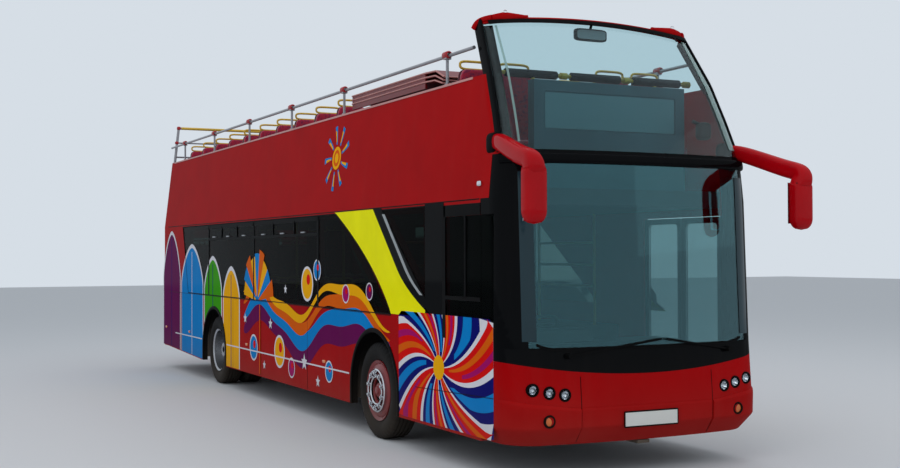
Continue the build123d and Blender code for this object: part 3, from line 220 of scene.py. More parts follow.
def smooth_path(corners, count=40):
    """A path that rounds its corners: a uniform cubic B-spline over the corner points, whose ends
    are tripled so that it starts and stops on them."""
    corners = np.asarray(corners, float)
    knots = np.vstack([corners[:1]] * 2 + [corners] + [corners[-1:]] * 2)
    along = spread(0, len(knots) - 3, count)
    cell = np.minimum(along.astype(int), len(knots) - 4)
    t = (along - cell)[:, None]
    weights = ((1 - t) ** 3, 3 * t**3 - 6 * t**2 + 4, -3 * t**3 + 3 * t**2 + 3 * t + 1, t**3)
    return sum(weight * knots[cell + step] for step, weight in enumerate(weights)) / 6


def power(value, exponent):
    """A signed power, for superellipse shapes."""
    return np.sign(value) * np.abs(value) ** exponent


def squared(exponent, sides):
    """A profile of unit half widths between a circle and a square: the cosine and sine of an
    angle, each raised to a power below one."""
    turn = spread(0, 2 * np.pi, sides + 1)[:-1]
    return np.stack([power(np.cos(turn), exponent), power(np.sin(turn), exponent)], axis=-1)


def rounded_block(centre, size, roundness=0.35, rings=14, segments=28):
    """A superellipsoid: both angles' sines and cosines are raised to a power below one, which
    gives a block whose edges and corners are rounded."""
    tilt = spread(-np.pi / 2, np.pi / 2, rings)[:, None]
    turn = spread(0, 2 * np.pi, segments + 1)[None]
    x = power(np.cos(tilt), roundness) * power(np.cos(turn), roundness)
    y = power(np.cos(tilt), roundness) * power(np.sin(turn), roundness)
    z = power(np.sin(tilt), roundness) * np.ones_like(turn)
    half = np.asarray(size, float) / 2
    return grid(np.stack([x, y, z], axis=-1) * half + np.asarray(centre, float))


def piece(name, parts, finish, body="root", replaces=(), smooth=40, weld=2e-5):
    """A mesh piece from vertices and quads, welded at its seams and poles, with outward faces."""
    points, quads = merge(parts) if isinstance(parts, list) else parts
    mesh = bpy.data.meshes.new(name)
    mesh.from_pydata(points.tolist(), [], quads.tolist())
    work = bmesh.new()
    work.from_mesh(mesh)
    bmesh.ops.remove_doubles(work, verts=work.verts, dist=weld)
    bmesh.ops.dissolve_degenerate(work, edges=work.edges, dist=weld / 4)
    bmesh.ops.recalc_face_normals(work, faces=work.faces)
    work.to_mesh(mesh)
    work.free()
    if smooth:
        mesh.shade_smooth()
        mesh.set_sharp_from_angle(angle=math.radians(smooth))
    made = bpy.data.objects.new(name, mesh)
    bpy.context.scene.collection.objects.link(made)
    mesh.materials.append(material(finish))
    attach(made, body)
    if replaces:
        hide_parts(*replaces)
    return made


def black(name, parts, finish="satin_black", smooth=40):
    """A fixed piece of the black trim."""
    return piece(name, parts, finish, smooth=smooth)


def lay(name, colour, parts):
    """A sheet or strip in one of the livery's colours."""
    return piece(name, parts, f"vinyl_{colour}", smooth=0)


# Shader nodes


def add_node(tree, kind, inputs=None, **settings):
    """A node with its settings, and its inputs linked from sockets or set to values."""
    made = tree.nodes.new(kind)
    for key, value in settings.items():
        setattr(made, key, value)
    for key, value in (inputs or {}).items():
        if isinstance(value, bpy.types.NodeSocket):
            tree.links.new(value, made.inputs[key])
        else:
            made.inputs[key].default_value = value
    return made


def calculate(tree, operation, *values, clamp=False):
    """A Math node's result."""
    made = add_node(tree, "ShaderNodeMath", operation=operation, use_clamp=clamp)
    for socket, value in zip(made.inputs, values):
        if isinstance(value, bpy.types.NodeSocket):
            tree.links.new(value, socket)
        else:
            socket.default_value = value
    return made.outputs[0]


def ramp(tree, value, low, high, to_low=0.0, to_high=1.0):
    """A value mapped from one range to another, held at the ends."""
    inputs = {"Value": value, "From Min": low, "From Max": high, "To Min": to_low, "To Max": to_high}
    return add_node(tree, "ShaderNodeMapRange", inputs, clamp=True).outputs[0]


def blend_colour(tree, share, first, second):
    """A mix of two colours."""
    made = add_node(tree, "ShaderNodeMix", data_type="RGBA")
    for socket, value in ((made.inputs[0], share), (made.inputs[6], first), (made.inputs[7], second)):
        if isinstance(value, bpy.types.NodeSocket):
            tree.links.new(value, socket)
        else:
            socket.default_value = value
    return made.outputs[2]


def noise(tree, vector, scale, detail=2.0, roughness=0.5):
    """A noise texture's value."""
    inputs = {"Vector": vector, "Scale": scale, "Detail": detail, "Roughness": roughness}
    return add_node(tree, "ShaderNodeTexNoise", inputs).outputs["Fac"]


def shared_group(name, inputs, outputs, fill):
    """A node group built once, whose fill function gets its tree, its inputs and its output node."""
    found = bpy.data.node_groups.get(name)
    if found:
        return found
    tree = bpy.data.node_groups.new(name, "ShaderNodeTree")
    for socket, default in inputs:
        made = tree.interface.new_socket(name=socket, in_out="INPUT", socket_type="NodeSocketFloat")
        made.default_value = default
    for socket in outputs:
        tree.interface.new_socket(name=socket, in_out="OUTPUT", socket_type="NodeSocketFloat")
    source, sink = tree.nodes.new("NodeGroupInput"), tree.nodes.new("NodeGroupOutput")
    fill(tree, source.outputs, sink.inputs)
    return tree


def fill_grime(tree, given, result):
    """Road dirt: thickest at the skirt, patchy above, with soft streaks that run down the wall."""
    where = add_node(tree, "ShaderNodeTexCoord").outputs["Object"]
    height = add_node(tree, "ShaderNodeSeparateXYZ", {0: where}).outputs["Z"]
    low = ramp(tree, height, 0.2, given["Reach"], 1.0, 0.0)
    low = calculate(tree, "POWER", low, 2.0)
    stretched = add_node(tree, "ShaderNodeMapping", {"Vector": where, "Scale": (9.0, 9.0, 0.7)}).outputs[0]
    streaks = ramp(tree, noise(tree, stretched, 1.0, 4.0), 0.52, 0.8)
    patches = noise(tree, where, 2.2, 5.0, 0.6)
    dirt = calculate(tree, "MULTIPLY", low, calculate(tree, "ADD", patches, 0.25))
    dirt = calculate(tree, "ADD", dirt, calculate(tree, "MULTIPLY", streaks, 0.10))
    mask = calculate(tree, "MULTIPLY", dirt, given["Amount"], clamp=True)
    tree.links.new(mask, result["Mask"])
    tree.links.new(calculate(tree, "SUBTRACT", patches, 0.5), result["Tone"])


def fill_grain(tree, given, result):
    """Fine grain of a moulded, cast or painted surface: two noises of different size."""
    where = add_node(tree, "ShaderNodeTexCoord").outputs["Object"]
    fine = noise(tree, where, given["Scale"], 3.0, 0.6)
    coarse = noise(tree, where, calculate(tree, "MULTIPLY", given["Scale"], 0.13), 2.0)
    height = calculate(tree, "ADD", fine, calculate(tree, "MULTIPLY", coarse, given["Coarse"]))
    tree.links.new(height, result["Height"])


def fill_weave(tree, given, result):
    """A woven cloth: threads in two directions cross over and under, from sines of the place."""
    where = add_node(tree, "ShaderNodeTexCoord").outputs["Object"]
    parts = add_node(tree, "ShaderNodeSeparateXYZ", {0: where}).outputs
    weft = calculate(tree, "MULTIPLY", parts["X"], given["Threads"])
    climb = calculate(tree, "ADD", parts["Y"], parts["Z"])
    warp = calculate(tree, "MULTIPLY", climb, given["Threads"])
    crossing = calculate(tree, "MULTIPLY", calculate(tree, "SINE", weft), calculate(tree, "SINE", warp))
    tree.links.new(ramp(tree, crossing, -1.0, 1.0), result["Height"])


# Each shared group: its inputs with their defaults, its outputs and the function that fills it
groups = {
    "road_grime": ((("Amount", 0.5), ("Reach", 1.2)), ("Mask", "Tone"), fill_grime),
    "surface_grain": ((("Scale", 300.0), ("Coarse", 0.5)), ("Height",), fill_grain),
    "cloth_weave": ((("Threads", 2500.0),), ("Height",), fill_weave),
}


def place_group(tree, name, **values):
    """A node of a shared group in a material's tree, with values for its inputs."""
    made = add_node(tree, "ShaderNodeGroup", node_tree=shared_group(name, *groups[name]))
    for key, value in values.items():
        made.inputs[key].default_value = value
    return made


def srgb(red, green, blue):
    """A colour given in 0 to 255 display values, as linear values with full alpha."""
    shares = np.array([red, green, blue]) / 255
    low, high = shares / 12.92, ((shares + 0.055) / 1.055) ** 2.4
    return (*np.where(shares <= 0.04045, low, high), 1.0)


DUST = srgb(96, 84, 72)
materials = {}


def new_material(name):
    """A material with nodes, with its tree and its shader."""
    made = bpy.data.materials.new(name)
    made.use_nodes = True
    return made, made.node_tree, made.node_tree.nodes["Principled BSDF"]


def coated(name, colour, roughness, metallic, grime, grain, tone=0.12, sockets=None):
    """A finish with dirt (amount, reach), tone changes and fine grain (scale, strength); sockets
    holds fixed values for the shader's own sockets."""
    made, tree, shader = new_material(name)
    dirt = place_group(tree, "road_grime", Amount=grime[0], Reach=grime[1])
    texture = place_group(tree, "surface_grain", Scale=grain[0])
    darker = tuple(part * (1 - 2 * tone) for part in colour[:3]) + (1.0,)
    colour = blend_colour(tree, ramp(tree, dirt.outputs["Tone"], -0.25, 0.25), darker, colour)
    tree.links.new(blend_colour(tree, dirt.outputs["Mask"], colour, DUST), shader.inputs["Base Color"])
    rough = ramp(tree, dirt.outputs["Mask"], 0.0, 1.0, roughness, min(roughness + 0.5, 0.9))
    tree.links.new(rough, shader.inputs["Roughness"])
    bump = add_node(
        tree, "ShaderNodeBump", {"Strength": grain[1], "Distance": 0.002, "Height": texture.outputs["Height"]}
    )
    tree.links.new(bump.outputs[0], shader.inputs["Normal"])
    shader.inputs["Metallic"].default_value = metallic
    for socket, value in (sockets or {}).items():
        shader.inputs[socket].default_value = value
    materials[name] = made
    return made


def glazed(name, tint, roughness=0.0, haze=0.05, bend=1.3, mirrored=(1.0, 1.0, 1.0, 1.0)):
    """A glass finish: a tinted transmitting shader with a little dust; mirrored tints what it reflects."""
    made, tree, shader = new_material(name)
    where = add_node(tree, "ShaderNodeTexCoord").outputs["Object"]
    marks = ramp(tree, noise(tree, where, 14.0, 6.0, 0.7), 0.55, 0.85, 0.0, haze)
    tree.links.new(blend_colour(tree, marks, tint, srgb(150, 150, 150)), shader.inputs["Base Color"])
    tree.links.new(ramp(tree, marks, 0.0, 1.0, roughness, 0.6), shader.inputs["Roughness"])
    shader.inputs["Transmission Weight"].default_value = 1.0
    shader.inputs["IOR"].default_value = bend
    shader.inputs["Specular Tint"].default_value = mirrored
    materials[name] = made
    return made


def overlaid(made, share, second):
    """A finish whose colour is blended with a second one by a share."""
    tree = made.node_tree
    base = tree.nodes["Principled BSDF"].inputs["Base Color"]
    tree.links.new(blend_colour(tree, share, base.links[0].from_socket, second), base)
    return made


def woven(name, colour, second, threads=2600.0):
    """A moquette: pile of two colours in soft flecks, over a fine weave, with sheen."""
    made = coated(name, colour, 0.85, 0.0, (0.2, 1.0), (900.0, 0.1), sockets={"Sheen Weight": 0.35})
    tree = made.node_tree
    where = add_node(tree, "ShaderNodeTexCoord").outputs["Object"]
    overlaid(made, ramp(tree, noise(tree, where, 38.0, 1.0), 0.56, 0.6), second)
    cloth = place_group(tree, "cloth_weave", Threads=threads)
    bump = tree.nodes["Principled BSDF"].inputs["Normal"].links[0].from_node
    tree.links.new(cloth.outputs["Height"], bump.inputs["Height"])
    bump.inputs["Strength"].default_value = 0.25
    return made


def lit_display(name):
    """A matrix display that is switched off: a fine lattice of small dots behind grey glass."""
    glass, dots, pitch = srgb(108, 142, 148), srgb(128, 160, 164), 520.0
    made = coated(name, glass, 0.3, 0.0, (0.05, 1.0), (300.0, 0.02), 0.04, {"Specular IOR Level": 0.1})
    tree = made.node_tree
    where = add_node(tree, "ShaderNodeTexCoord").outputs["Object"]
    parts = add_node(tree, "ShaderNodeSeparateXYZ", {0: where}).outputs
    waves = [calculate(tree, "SINE", calculate(tree, "MULTIPLY", parts[axis], pitch)) for axis in "XZ"]
    return overlaid(made, ramp(tree, calculate(tree, "MINIMUM", *waves), 0.45, 0.7), dots)


def colours():
    """The user's colours, as four-part tuples."""
    group = bpy.context.scene.bus_colours
    names = [name for name in group.bl_rna.properties.keys() if name not in ("rna_type", "name")]
    return {name: (*getattr(group, name), 1.0) for name in names}


def lacquer(weight, roughness):
    """Fixed sockets of a clear coat over a paint that has no gloss of its own."""
    return {"Specular IOR Level": 0.0, "Coat Weight": weight, "Coat Roughness": roughness}


def shine(level):
    """Fixed socket of a surface that shines less than plain plastic."""
    return {"Specular IOR Level": level}


# Each coated finish: its colour as display values, or the name of a colour that a user can change,
# then roughness, metallic, dirt, grain, and where they differ the tone change and fixed sockets
coats = {
    "body_paint": ("body_red", 0.34, 0.0, (0.35, 0.95), (60.0, 0.012), 0.08, lacquer(0.1, 0.06)),
    "screen_black": ((7, 8, 10), 0.2, 0.0, (0.12, 1.2), (80.0, 0.01), 0.12, lacquer(0.12, 0.05)),
    "satin_black": ((9, 9, 10), 0.5, 0.0, (0.15, 1.0), (500.0, 0.05), 0.12, shine(0.03)),
    "rubber": ((13, 13, 14), 0.65, 0.0, (0.2, 1.0), (700.0, 0.12), 0.12, shine(0.05)),
    "tyre": ((17, 17, 18), 0.8, 0.0, (0.3, 1.1), (420.0, 0.2), 0.15, shine(0.2)),
    "screen_margin": ((26, 52, 60), 0.12, 0.0, (0.1, 1.0), (60.0, 0.01), 0.12, shine(0.3)),
    "chassis_black": ((24, 24, 26), 0.6, 0.0, (1.6, 0.9), (200.0, 0.15)),
    "cast_iron": ((58, 57, 56), 0.7, 0.7, (1.2, 0.9), (160.0, 0.3)),
    "engine_cast": ((120, 122, 124), 0.55, 0.8, (1.2, 1.2), (160.0, 0.25)),
    "floor_vinyl": ((74, 76, 82), 0.55, 0.0, (0.2, 1.0), (260.0, 0.08), 0.2),
    "box_plastic": ((30, 30, 32), 0.7, 0.0, (1.3, 1.1), (240.0, 0.12)),
    "cab_plastic": ((44, 45, 48), 0.5, 0.0, (0.15, 1.0), (420.0, 0.12)),
    "rim_red": ((132, 6, 18), 0.35, 0.0, (0.35, 1.0), (120.0, 0.03), 0.12, {"Coat Weight": 0.2}),
    "rim_silver": ((196, 198, 202), 0.2, 0.95, (0.35, 1.0), (260.0, 0.03)),
    "steel": ((150, 152, 156), 0.3, 1.0, (0.5, 1.0), (300.0, 0.06)),
    "rail_grey": ((112, 108, 112), 0.35, 0.3, (0.1, 1.0), (240.0, 0.03)),
    "rail_steel": ((158, 156, 160), 0.3, 0.7, (0.1, 1.0), (240.0, 0.02)),
    "pale_trim": ((158, 164, 166), 0.4, 0.0, (0.2, 1.0), (240.0, 0.02)),
    # Pink of the deck caps; on the stair hood's lips the same pink is a painted highlight of their rounded
    # edges
    "cap_pink": ((196, 132, 126), 0.4, 0.0, (0.2, 1.0), (240.0, 0.02)),
    "foam": ((24, 34, 40), 0.8, 0.0, (0.1, 1.0), (600.0, 0.15), 0.12, shine(0.2)),
    "sign_grey": ((84, 112, 120), 0.5, 0.0, (0.1, 1.0), (400.0, 0.04), 0.12, shine(0.1)),
    # Pale, part clear paint for the sheets on the glass's bends: a painted reflection of the bright sky on
    # the bent glass
    "edge_glass": (
        (182, 212, 208), 0.15, 0.0, (0.05, 1.0), (60.0, 0.01), 0.12, {"Transmission Weight": 0.6, "IOR": 1.3}
    ),
    "clamp_red": ((172, 20, 30), 0.35, 0.0, (0.1, 1.0), (240.0, 0.03)),
    "hoop_yellow": ("hoop_yellow", 0.32, 0.0, (0.1, 1.0), (240.0, 0.03), 0.12, {"Coat Weight": 0.3}),
    "seat_shell": ((86, 16, 34), 0.4, 0.0, (0.1, 1.0), (300.0, 0.06)),
    "hood_red": ((120, 14, 20), 0.4, 0.0, (0.1, 1.0), (120.0, 0.04)),
    "mirror_red": ("mirror_red", 0.22, 0.0, (0.1, 1.0), (80.0, 0.01), 0.12, lacquer(0.3, 0.04)),
    "mirror_face": ((220, 224, 228), 0.03, 1.0, (0.05, 1.0), (60.0, 0.002), 0.0),
    "lamp_chrome": ((214, 216, 220), 0.12, 1.0, (0.1, 1.0), (60.0, 0.01), 0.0),
    "lamp_red": ((170, 12, 16), 0.15, 0.0, (0.3, 1.2), (60.0, 0.02), 0.12, {"Coat Weight": 0.5}),
    "lamp_orange": ((230, 112, 20), 0.18, 0.0, (0.3, 1.2), (60.0, 0.02), 0.12, {"Coat Weight": 0.5}),
    "plate": ((226, 226, 220), 0.4, 0.0, (0.3, 1.0), (200.0, 0.02), 0.03),
}
for livery in ("yellow", "purple", "blue", "green", "amber", "orange", "white", "navy", "pink", "scarlet"):
    sheet = f"vinyl_{livery}"
    coats[sheet] = (sheet, 0.34, 0.0, (0.3, 0.95), (60.0, 0.01), 0.06, lacquer(0.08, 0.08))

panes = {
    "upper_glass": {"tint": srgb(198, 226, 230)},
    "screen_glass": {"tint": srgb(160, 192, 194), "bend": 1.75, "mirrored": srgb(170, 232, 244)},
    "dark_glass": {"tint": srgb(86, 102, 98), "haze": 0.02, "bend": 1.04},
    "door_glass": {"tint": srgb(150, 170, 172)},
    "lamp_clear": {"tint": srgb(240, 244, 246), "haze": 0.02},
}


def material(name):
    """A finish by name, made when it is first asked for."""
    if name in materials:
        return materials[name]
    if name in panes:
        return glazed(name, **panes[name])
    if name == "moquette":
        return woven(name, colours()["seat_crimson"], srgb(120, 12, 60))
    if name == "display":
        return lit_display(name)
    colour, *values = coats[name]
    return coated(name, colours()[colour] if isinstance(colour, str) else srgb(*colour), *values)


def colour_value(label, note, colour):
    """A colour that a user can change."""
    return bpy.props.FloatVectorProperty(
        name=label, description=note, default=colour[:3], subtype="COLOR", size=3, min=0.0, max=1.0
    )


def length_value(label, note, value):
    """A length that a user can change."""
    return bpy.props.FloatProperty(
        name=label, description=note, default=value, min=0.0, subtype="DISTANCE", unit="LENGTH", precision=4
    )


class BusColours(bpy.types.PropertyGroup):
    """Colours of the bus"""

    body_red: colour_value("Body red", "Paint of the body panels", srgb(172, 2, 6))
    mirror_red: colour_value("Mirror red", "Gloss plastic of the mirrors and their arms", srgb(184, 4, 16))
    hoop_yellow: colour_value("Hoop yellow", "Grab hoops and rails", srgb(218, 176, 52))
    seat_crimson: colour_value("Seat crimson", "Cloth of the seats", srgb(176, 18, 58))
    vinyl_yellow: colour_value("Band yellow", "The band behind the cab", srgb(252, 246, 6))
    vinyl_purple: colour_value("Purple", "Livery purple", srgb(102, 4, 80))
    vinyl_blue: colour_value("Blue", "Livery blue", srgb(2, 130, 204))
    vinyl_green: colour_value("Green", "Livery green", srgb(58, 158, 8))
    vinyl_amber: colour_value("Amber", "Livery amber", srgb(246, 176, 4))
    vinyl_orange: colour_value("Orange", "Livery orange", srgb(224, 96, 6))
    vinyl_white: colour_value("White", "Livery white", srgb(226, 224, 230))
    vinyl_navy: colour_value("Navy", "Livery dark blue", srgb(6, 12, 108))
    vinyl_pink: colour_value("Pink", "Livery pink", srgb(168, 12, 104))
    vinyl_scarlet: colour_value("Scarlet", "Livery bright red", srgb(222, 12, 8))


class BusSizes(bpy.types.PropertyGroup):
    """Sizes of the details"""

    vinyl_thick: length_value("Vinyl thickness", "Thickness of a livery sheet", 0.0004)
    gasket_wide: length_value("Gasket width", "Width of the rubber round the panes", 0.016)
    groove_deep: length_value("Tread depth", "Depth of the tyre grooves", 0.012)
    hoop_tube: length_value("Hoop tube", "Radius of the grab hoops' tube", 0.012)
    trim_high: length_value("Trim height", "Height of the strip along the side", 0.016)


def sizes():
    """The user's sizes."""
    return bpy.context.scene.bus_sizes


finish_nodes = {
    "body_paint": (
        "front_bumper", "lower_sides", "upper_sides", "rear_panel_lower", "rear_panel_upper", "engine_lid",
        "upper_screen_rail",
    ),
    "screen_black": ("windscreen_frame", "upper_screen_frame"),
    "screen_glass": ("windscreen_lower",),
    "upper_glass": ("windscreen_upper",),
    "dark_glass": ("saloon_glass",),
    "door_glass": ("door_glass_front", "door_glass_rear"),
    "satin_black": ("door_leaf_front", "door_leaf_rear"),
    "box_plastic": ("wheel_boxes",),
    "cab_plastic": ("partitions", "dashboard"),
    "floor_vinyl": ("lower_floor", "upper_floor", "stairs"),
    "chassis_black": ("chassis_frame", "track_rod"),
    "cast_iron": ("front_axle_beam", "rear_axle", "knuckle_left", "knuckle_right"),
    "engine_cast": ("engine_block",),
    "rim_red": ("rim_front_left", "rim_front_right"),
    "rim_silver": ("rim_rear_left", "rim_rear_right"),
    "tyre": ("tyre_front_left", "tyre_front_right", "tyres_rear_left", "tyres_rear_right"),
    "rubber": ("wipers",),
    "hood_red": ("stair_hood",),
    "moquette": ("upper_seats", "lower_seats"),
    "rail_steel": ("handrails", "rear_guard"),
    "hoop_yellow": ("front_grab_rail", "seat_hoops"),
    "sign_grey": ("sign_box",),
    "mirror_red": ("mirrors",),
    "mirror_face": ("mirror_glass",),
    "lamp_chrome": ("front_lamps",),
    "lamp_red": ("rear_lamps",),
    "plate": ("number_plates",),
}


class BUS_OT_finishes(bpy.types.Operator):
    """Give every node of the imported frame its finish"""

    bl_idname = "bus.finishes"
    bl_label = "Frame Finishes"

    def execute(self, context):
        for finish, names in finish_nodes.items():
            for name in names:
                mesh = frame["nodes"][name].data
                mesh.materials.clear()
                mesh.materials.append(material(finish))
        return {"FINISHED"}


def aim(item, right, up, back, spot):
    """Put an object at a spot, with its three axes along the given directions."""
    axes = np.column_stack([right, up, back, spot])
    item.matrix_world = Matrix(np.vstack([axes, [0, 0, 0, 1]]).tolist())
    bpy.context.scene.collection.objects.link(item)


def place_camera():
    """The camera, fitted to the wheels, plate and panel lines of the photograph."""
    image_wide, focal_pixels = 900, 1219.17
    yaw, pitch, roll = 0.458144729, 0.0164995501, -0.003358969
    place = (-5.967, aft(-11.245), 1.834)
    ahead = np.array([math.sin(yaw) * math.cos(pitch), math.cos(yaw) * math.cos(pitch), math.sin(pitch)])
    right = np.array([math.cos(yaw), -math.sin(yaw), 0.0])
    up = np.cross(right, ahead)
    right, up = math.cos(roll) * right + math.sin(roll) * up, math.cos(roll) * up - math.sin(roll) * right
    lens = bpy.data.cameras.new("photo_camera")
    lens.sensor_width = 36.0
    lens.lens = focal_pixels / image_wide * lens.sensor_width
    lens.clip_end = 300.0
    camera = bpy.data.objects.new("photo_camera", lens)
    aim(camera, right, up, -ahead, place)
    bpy.context.scene.camera = camera


def lay_floor():
    """A plain pale floor."""
    far = 60.0
    points, quads = grid(np.array([[(x, y, 0.0) for y in (-far, far)] for x in (-far, far)]))
    mesh = bpy.data.meshes.new("floor")
    mesh.from_pydata(points.tolist(), [], quads[:, ::-1].tolist())
    floor = bpy.data.objects.new("floor", mesh)
    bpy.context.scene.collection.objects.link(floor)
    made, _, shader = new_material("stage_floor")
    shader.inputs["Base Color"].default_value = srgb(206, 207, 209)
    shader.inputs["Roughness"].default_value = 0.9
    mesh.materials.append(made)


def light_world():
    """A pale world, which the camera, glass and gloss see a little brighter than it lights."""
    world = bpy.data.worlds.new("studio")
    world.use_nodes = True
    bpy.context.scene.world = world
    tree = world.node_tree
    rays = add_node(tree, "ShaderNodeLightPath").outputs
    seen = calculate(tree, "MAXIMUM", rays["Is Camera Ray"], rays["Is Transmission Ray"])
    seen = calculate(tree, "MAXIMUM", seen, rays["Is Glossy Ray"])
    back = tree.nodes["Background"]
    back.inputs["Color"].default_value = srgb(214, 222, 230)
    tree.links.new(ramp(tree, seen, 0.0, 1.0, 0.8, 1.0), back.inputs["Strength"])


def hang_lamps():
    """Three large soft lamps, aimed at the bus; the steep one takes its sideways axis from X."""
    aimed_at = np.array([0.0, aft(2.0), 1.6])
    for name, spot, size, watts in (
        ("key", (-9.0, aft(-9.0), 11.0), 9.0, 420.0),
        ("top", (0.0, aft(3.0), 13.0), 14.0, 520.0),
        ("fill", (10.0, aft(-10.0), 7.0), 9.0, 160.0),
    ):
        lamp = bpy.data.lights.new(name, "AREA")
        lamp.energy, lamp.size = watts, size
        light = bpy.data.objects.new(name, lamp)
        towards = aimed_at - np.array(spot)
        towards /= np.linalg.norm(towards)
        steep = abs(towards[2]) >= 0.99
        sideways = np.array([1.0, 0.0, 0.0]) if steep else np.cross(towards, (0, 0, 1))
        sideways /= np.linalg.norm(sideways)
        aim(light, sideways, np.cross(sideways, towards), -towards, spot)
        light.visible_glossy = False


class BUS_OT_stage(bpy.types.Operator):
    """Set up the camera, the pale floor, the world and the soft lights"""

    bl_idname = "bus.stage"
    bl_label = "Camera and Stage"

    def execute(self, context):
        place_camera()
        lay_floor()
        light_world()
        hang_lamps()
        context.scene.view_settings.view_transform = "Standard"
        return {"FINISHED"}


def tyre(centre_x, axle_y):
    """A tyre: a profile of bead, bulging wall, shoulder and ribs turned about the axle; the radius
    drops in the grooves, and in the shoulders it drops again at every lug gap round the wheel."""
    crown, bead, inner_bead = 0.478, 0.3003, 0.3043
    lug_count, lug_deep, lug_level = 48, 0.006, 0.72
    deep = sizes().groove_deep
    wall = np.array([(-0.104, bead), (-0.132, 0.345), (-0.1378, 0.395), (-0.1345, 0.43), (-0.124, 0.452)])
    edges = [(-0.112, 0.470), (-0.101, crown - 0.001)]
    groove = ((-0.0065, 0.0), (-0.004, deep), (0.004, deep), (0.0065, 0.0))
    grooves = [
        (middle + along, crown - down) for middle in (-0.062, -0.021, 0.021, 0.062) for along, down in groove
    ]
    left = np.vstack([wall, edges])
    inside = [(0.100, inner_bead), (-0.100, inner_bead), left[0]]
    profile = np.vstack([left, grooves, left[::-1] * (-1, 1), inside])

    def gaps(row, angle):
        opposite = len(profile) - len(inside) - 1 - row
        shoulder = (row >= 4) & (row <= 7) | (opposite >= 4) & (opposite <= 7)
        return -lug_deep * shoulder * (np.sin(angle * lug_count) > lug_level)

    return turned(profile, (centre_x, axle_y, hub_height), segments=288, wobble=gaps)


def middle_x(node):
    """Frame X of a node's middle."""
    low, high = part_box(node)
    return (low[0] + high[0]) / 2


# Name and sign of each side of the bus
wheel_sides = (("left", 1), ("right", -1))


class BUS_OT_tyres(bpy.types.Operator):
    """Replace the plain tyres with ribbed ones"""

    bl_idname = "bus.tyres"
    bl_label = "Tyres"

    def execute(self, context):
        half_wide = 0.1379
        for name, _ in wheel_sides:
            tread = tyre(middle_x(f"tyre_front_{name}"), front_axle)
            piece(
                f"tread_front_{name}", tread, "tyre", f"wheel_front_{name}",
                (f"tyre_front_{name}",), smooth=50,
            )
            low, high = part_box(f"tyres_rear_{name}")
            pair = [tyre(x, rear_axle) for x in (low[0] + half_wide, high[0] - half_wide)]
            piece(
                f"tread_rear_{name}", pair, "tyre", f"wheel_rear_{name}",
                (f"tyres_rear_{name}",), smooth=50,
            )
        return {"FINISHED"}


# Front of the body, as in the CAD source: rows of height, half width and place of the nose, and the
# radius of the corners; the nose is an arc of the bow's radius
bow = 6.7
lower_front = np.array([
    (0.285, 1.195, -2.8), (0.43, 1.275, -2.898), (0.6, 1.275, -2.905),
    (1.07, 1.275, -2.868), (2.29, 1.275, -2.815), (2.65, 1.240, -2.8),
]), 0.29
upper_front = np.array([
    (2.65, 1.240, -2.74), (3.0, 1.206, -2.587), (3.35, 1.172, -2.415), (3.925, 1.09, -2.04)
]), 0.2


def plan(height, shape):
    """Corner centre, nose and turning angle of the front's plan at a height."""
    levels, corner = shape
    half, nose = (np.interp(height, levels[:, 0], levels[:, column]) for column in (1, 2))
    centre_x = half - corner
    centre_y = nose + bow - np.sqrt((bow - corner) ** 2 - centre_x**2)
    return centre_x, centre_y, nose, np.arctan2(centre_x, nose + bow - centre_y)


def front(distance, height, out=0.0, shape=lower_front):
    """Points round the front: distance runs along the plan from the centre line, first on the
    bowed nose, then round the corner arc, then straight back along the side."""
    distance, height, out = np.broadcast_arrays(np.asarray(distance, float), height, out)
    centre_x, centre_y, nose, meet = plan(height, shape)
    corner = shape[1]
    far = np.abs(distance) - bow * meet
    bowed = np.abs(distance) / bow
    angle = np.minimum(meet + far / corner, np.pi / 2)
    rest = np.maximum(far - corner * (np.pi / 2 - meet), 0)
    x = np.where(far < 0, (bow + out) * np.sin(bowed), centre_x + (corner + out) * np.sin(angle))
    y = np.where(
        far < 0, nose + bow - (bow + out) * np.cos(bowed), centre_y - (corner + out) * np.cos(angle) + rest
    )
    return np.stack([np.sign(distance) * x, aft(y), height], axis=-1)


def across(x, height, shape=lower_front):
    """Distance along the plan of the front at which its half width is x."""
    centre_x, _, _, meet = plan(height, shape)
    corner = shape[1]
    turn = np.arcsin(np.clip((np.abs(x) - centre_x) / corner, -1, 1)) - meet
    on_nose = np.abs(x) <= bow * np.sin(meet)
    arc = bow * np.arcsin(np.clip(np.abs(x) / bow, 0, 1))
    return np.sign(x) * np.where(on_nose, arc, bow * meet + corner * turn)


# Surfaces on the sides, and the livery


def on_side(place, height, out=0.0):
    """Points on the right side of the body, lifted off it by a distance."""
    place, height, out = np.broadcast_arrays(np.asarray(place, float), height, out)
    return np.stack([-(wall_x(height) + out), aft(place), height], axis=-1)


livery_reach = arch_radius + 0.032


def livery_low(place):
    """Lower edge of the livery: the skirt, which rises behind the rear axle, and both arches."""
    place = np.asarray(place, float)
    low = skirt_height + 0.012 + np.interp(place, [6.6, 8.7], [0.0, 0.07])
    for axle in axles:
        rise = np.sqrt(np.maximum(livery_reach**2 - (place - axle) ** 2, 0))
        low = np.where(rise > 0, np.maximum(low, hub_height + rise), low)
    return low


def vinyl(place, height, layer=1):
    """A sheet of vinyl over points of the side; layers lie on each other."""
    thick = sizes().vinyl_thick
    place, height = np.broadcast_arrays(place, height)
    return slab(on_side(place, height, 0.0006 + (layer - 1) * 1.5 * thick), (-thick, 0, 0))


def round_vinyl(centre, radius, angle, layer):
    """A sheet of vinyl over points given by radius and angle, from upright, round a centre."""
    return vinyl(centre[0] + radius * np.sin(angle), centre[1] + radius * np.cos(angle), layer)


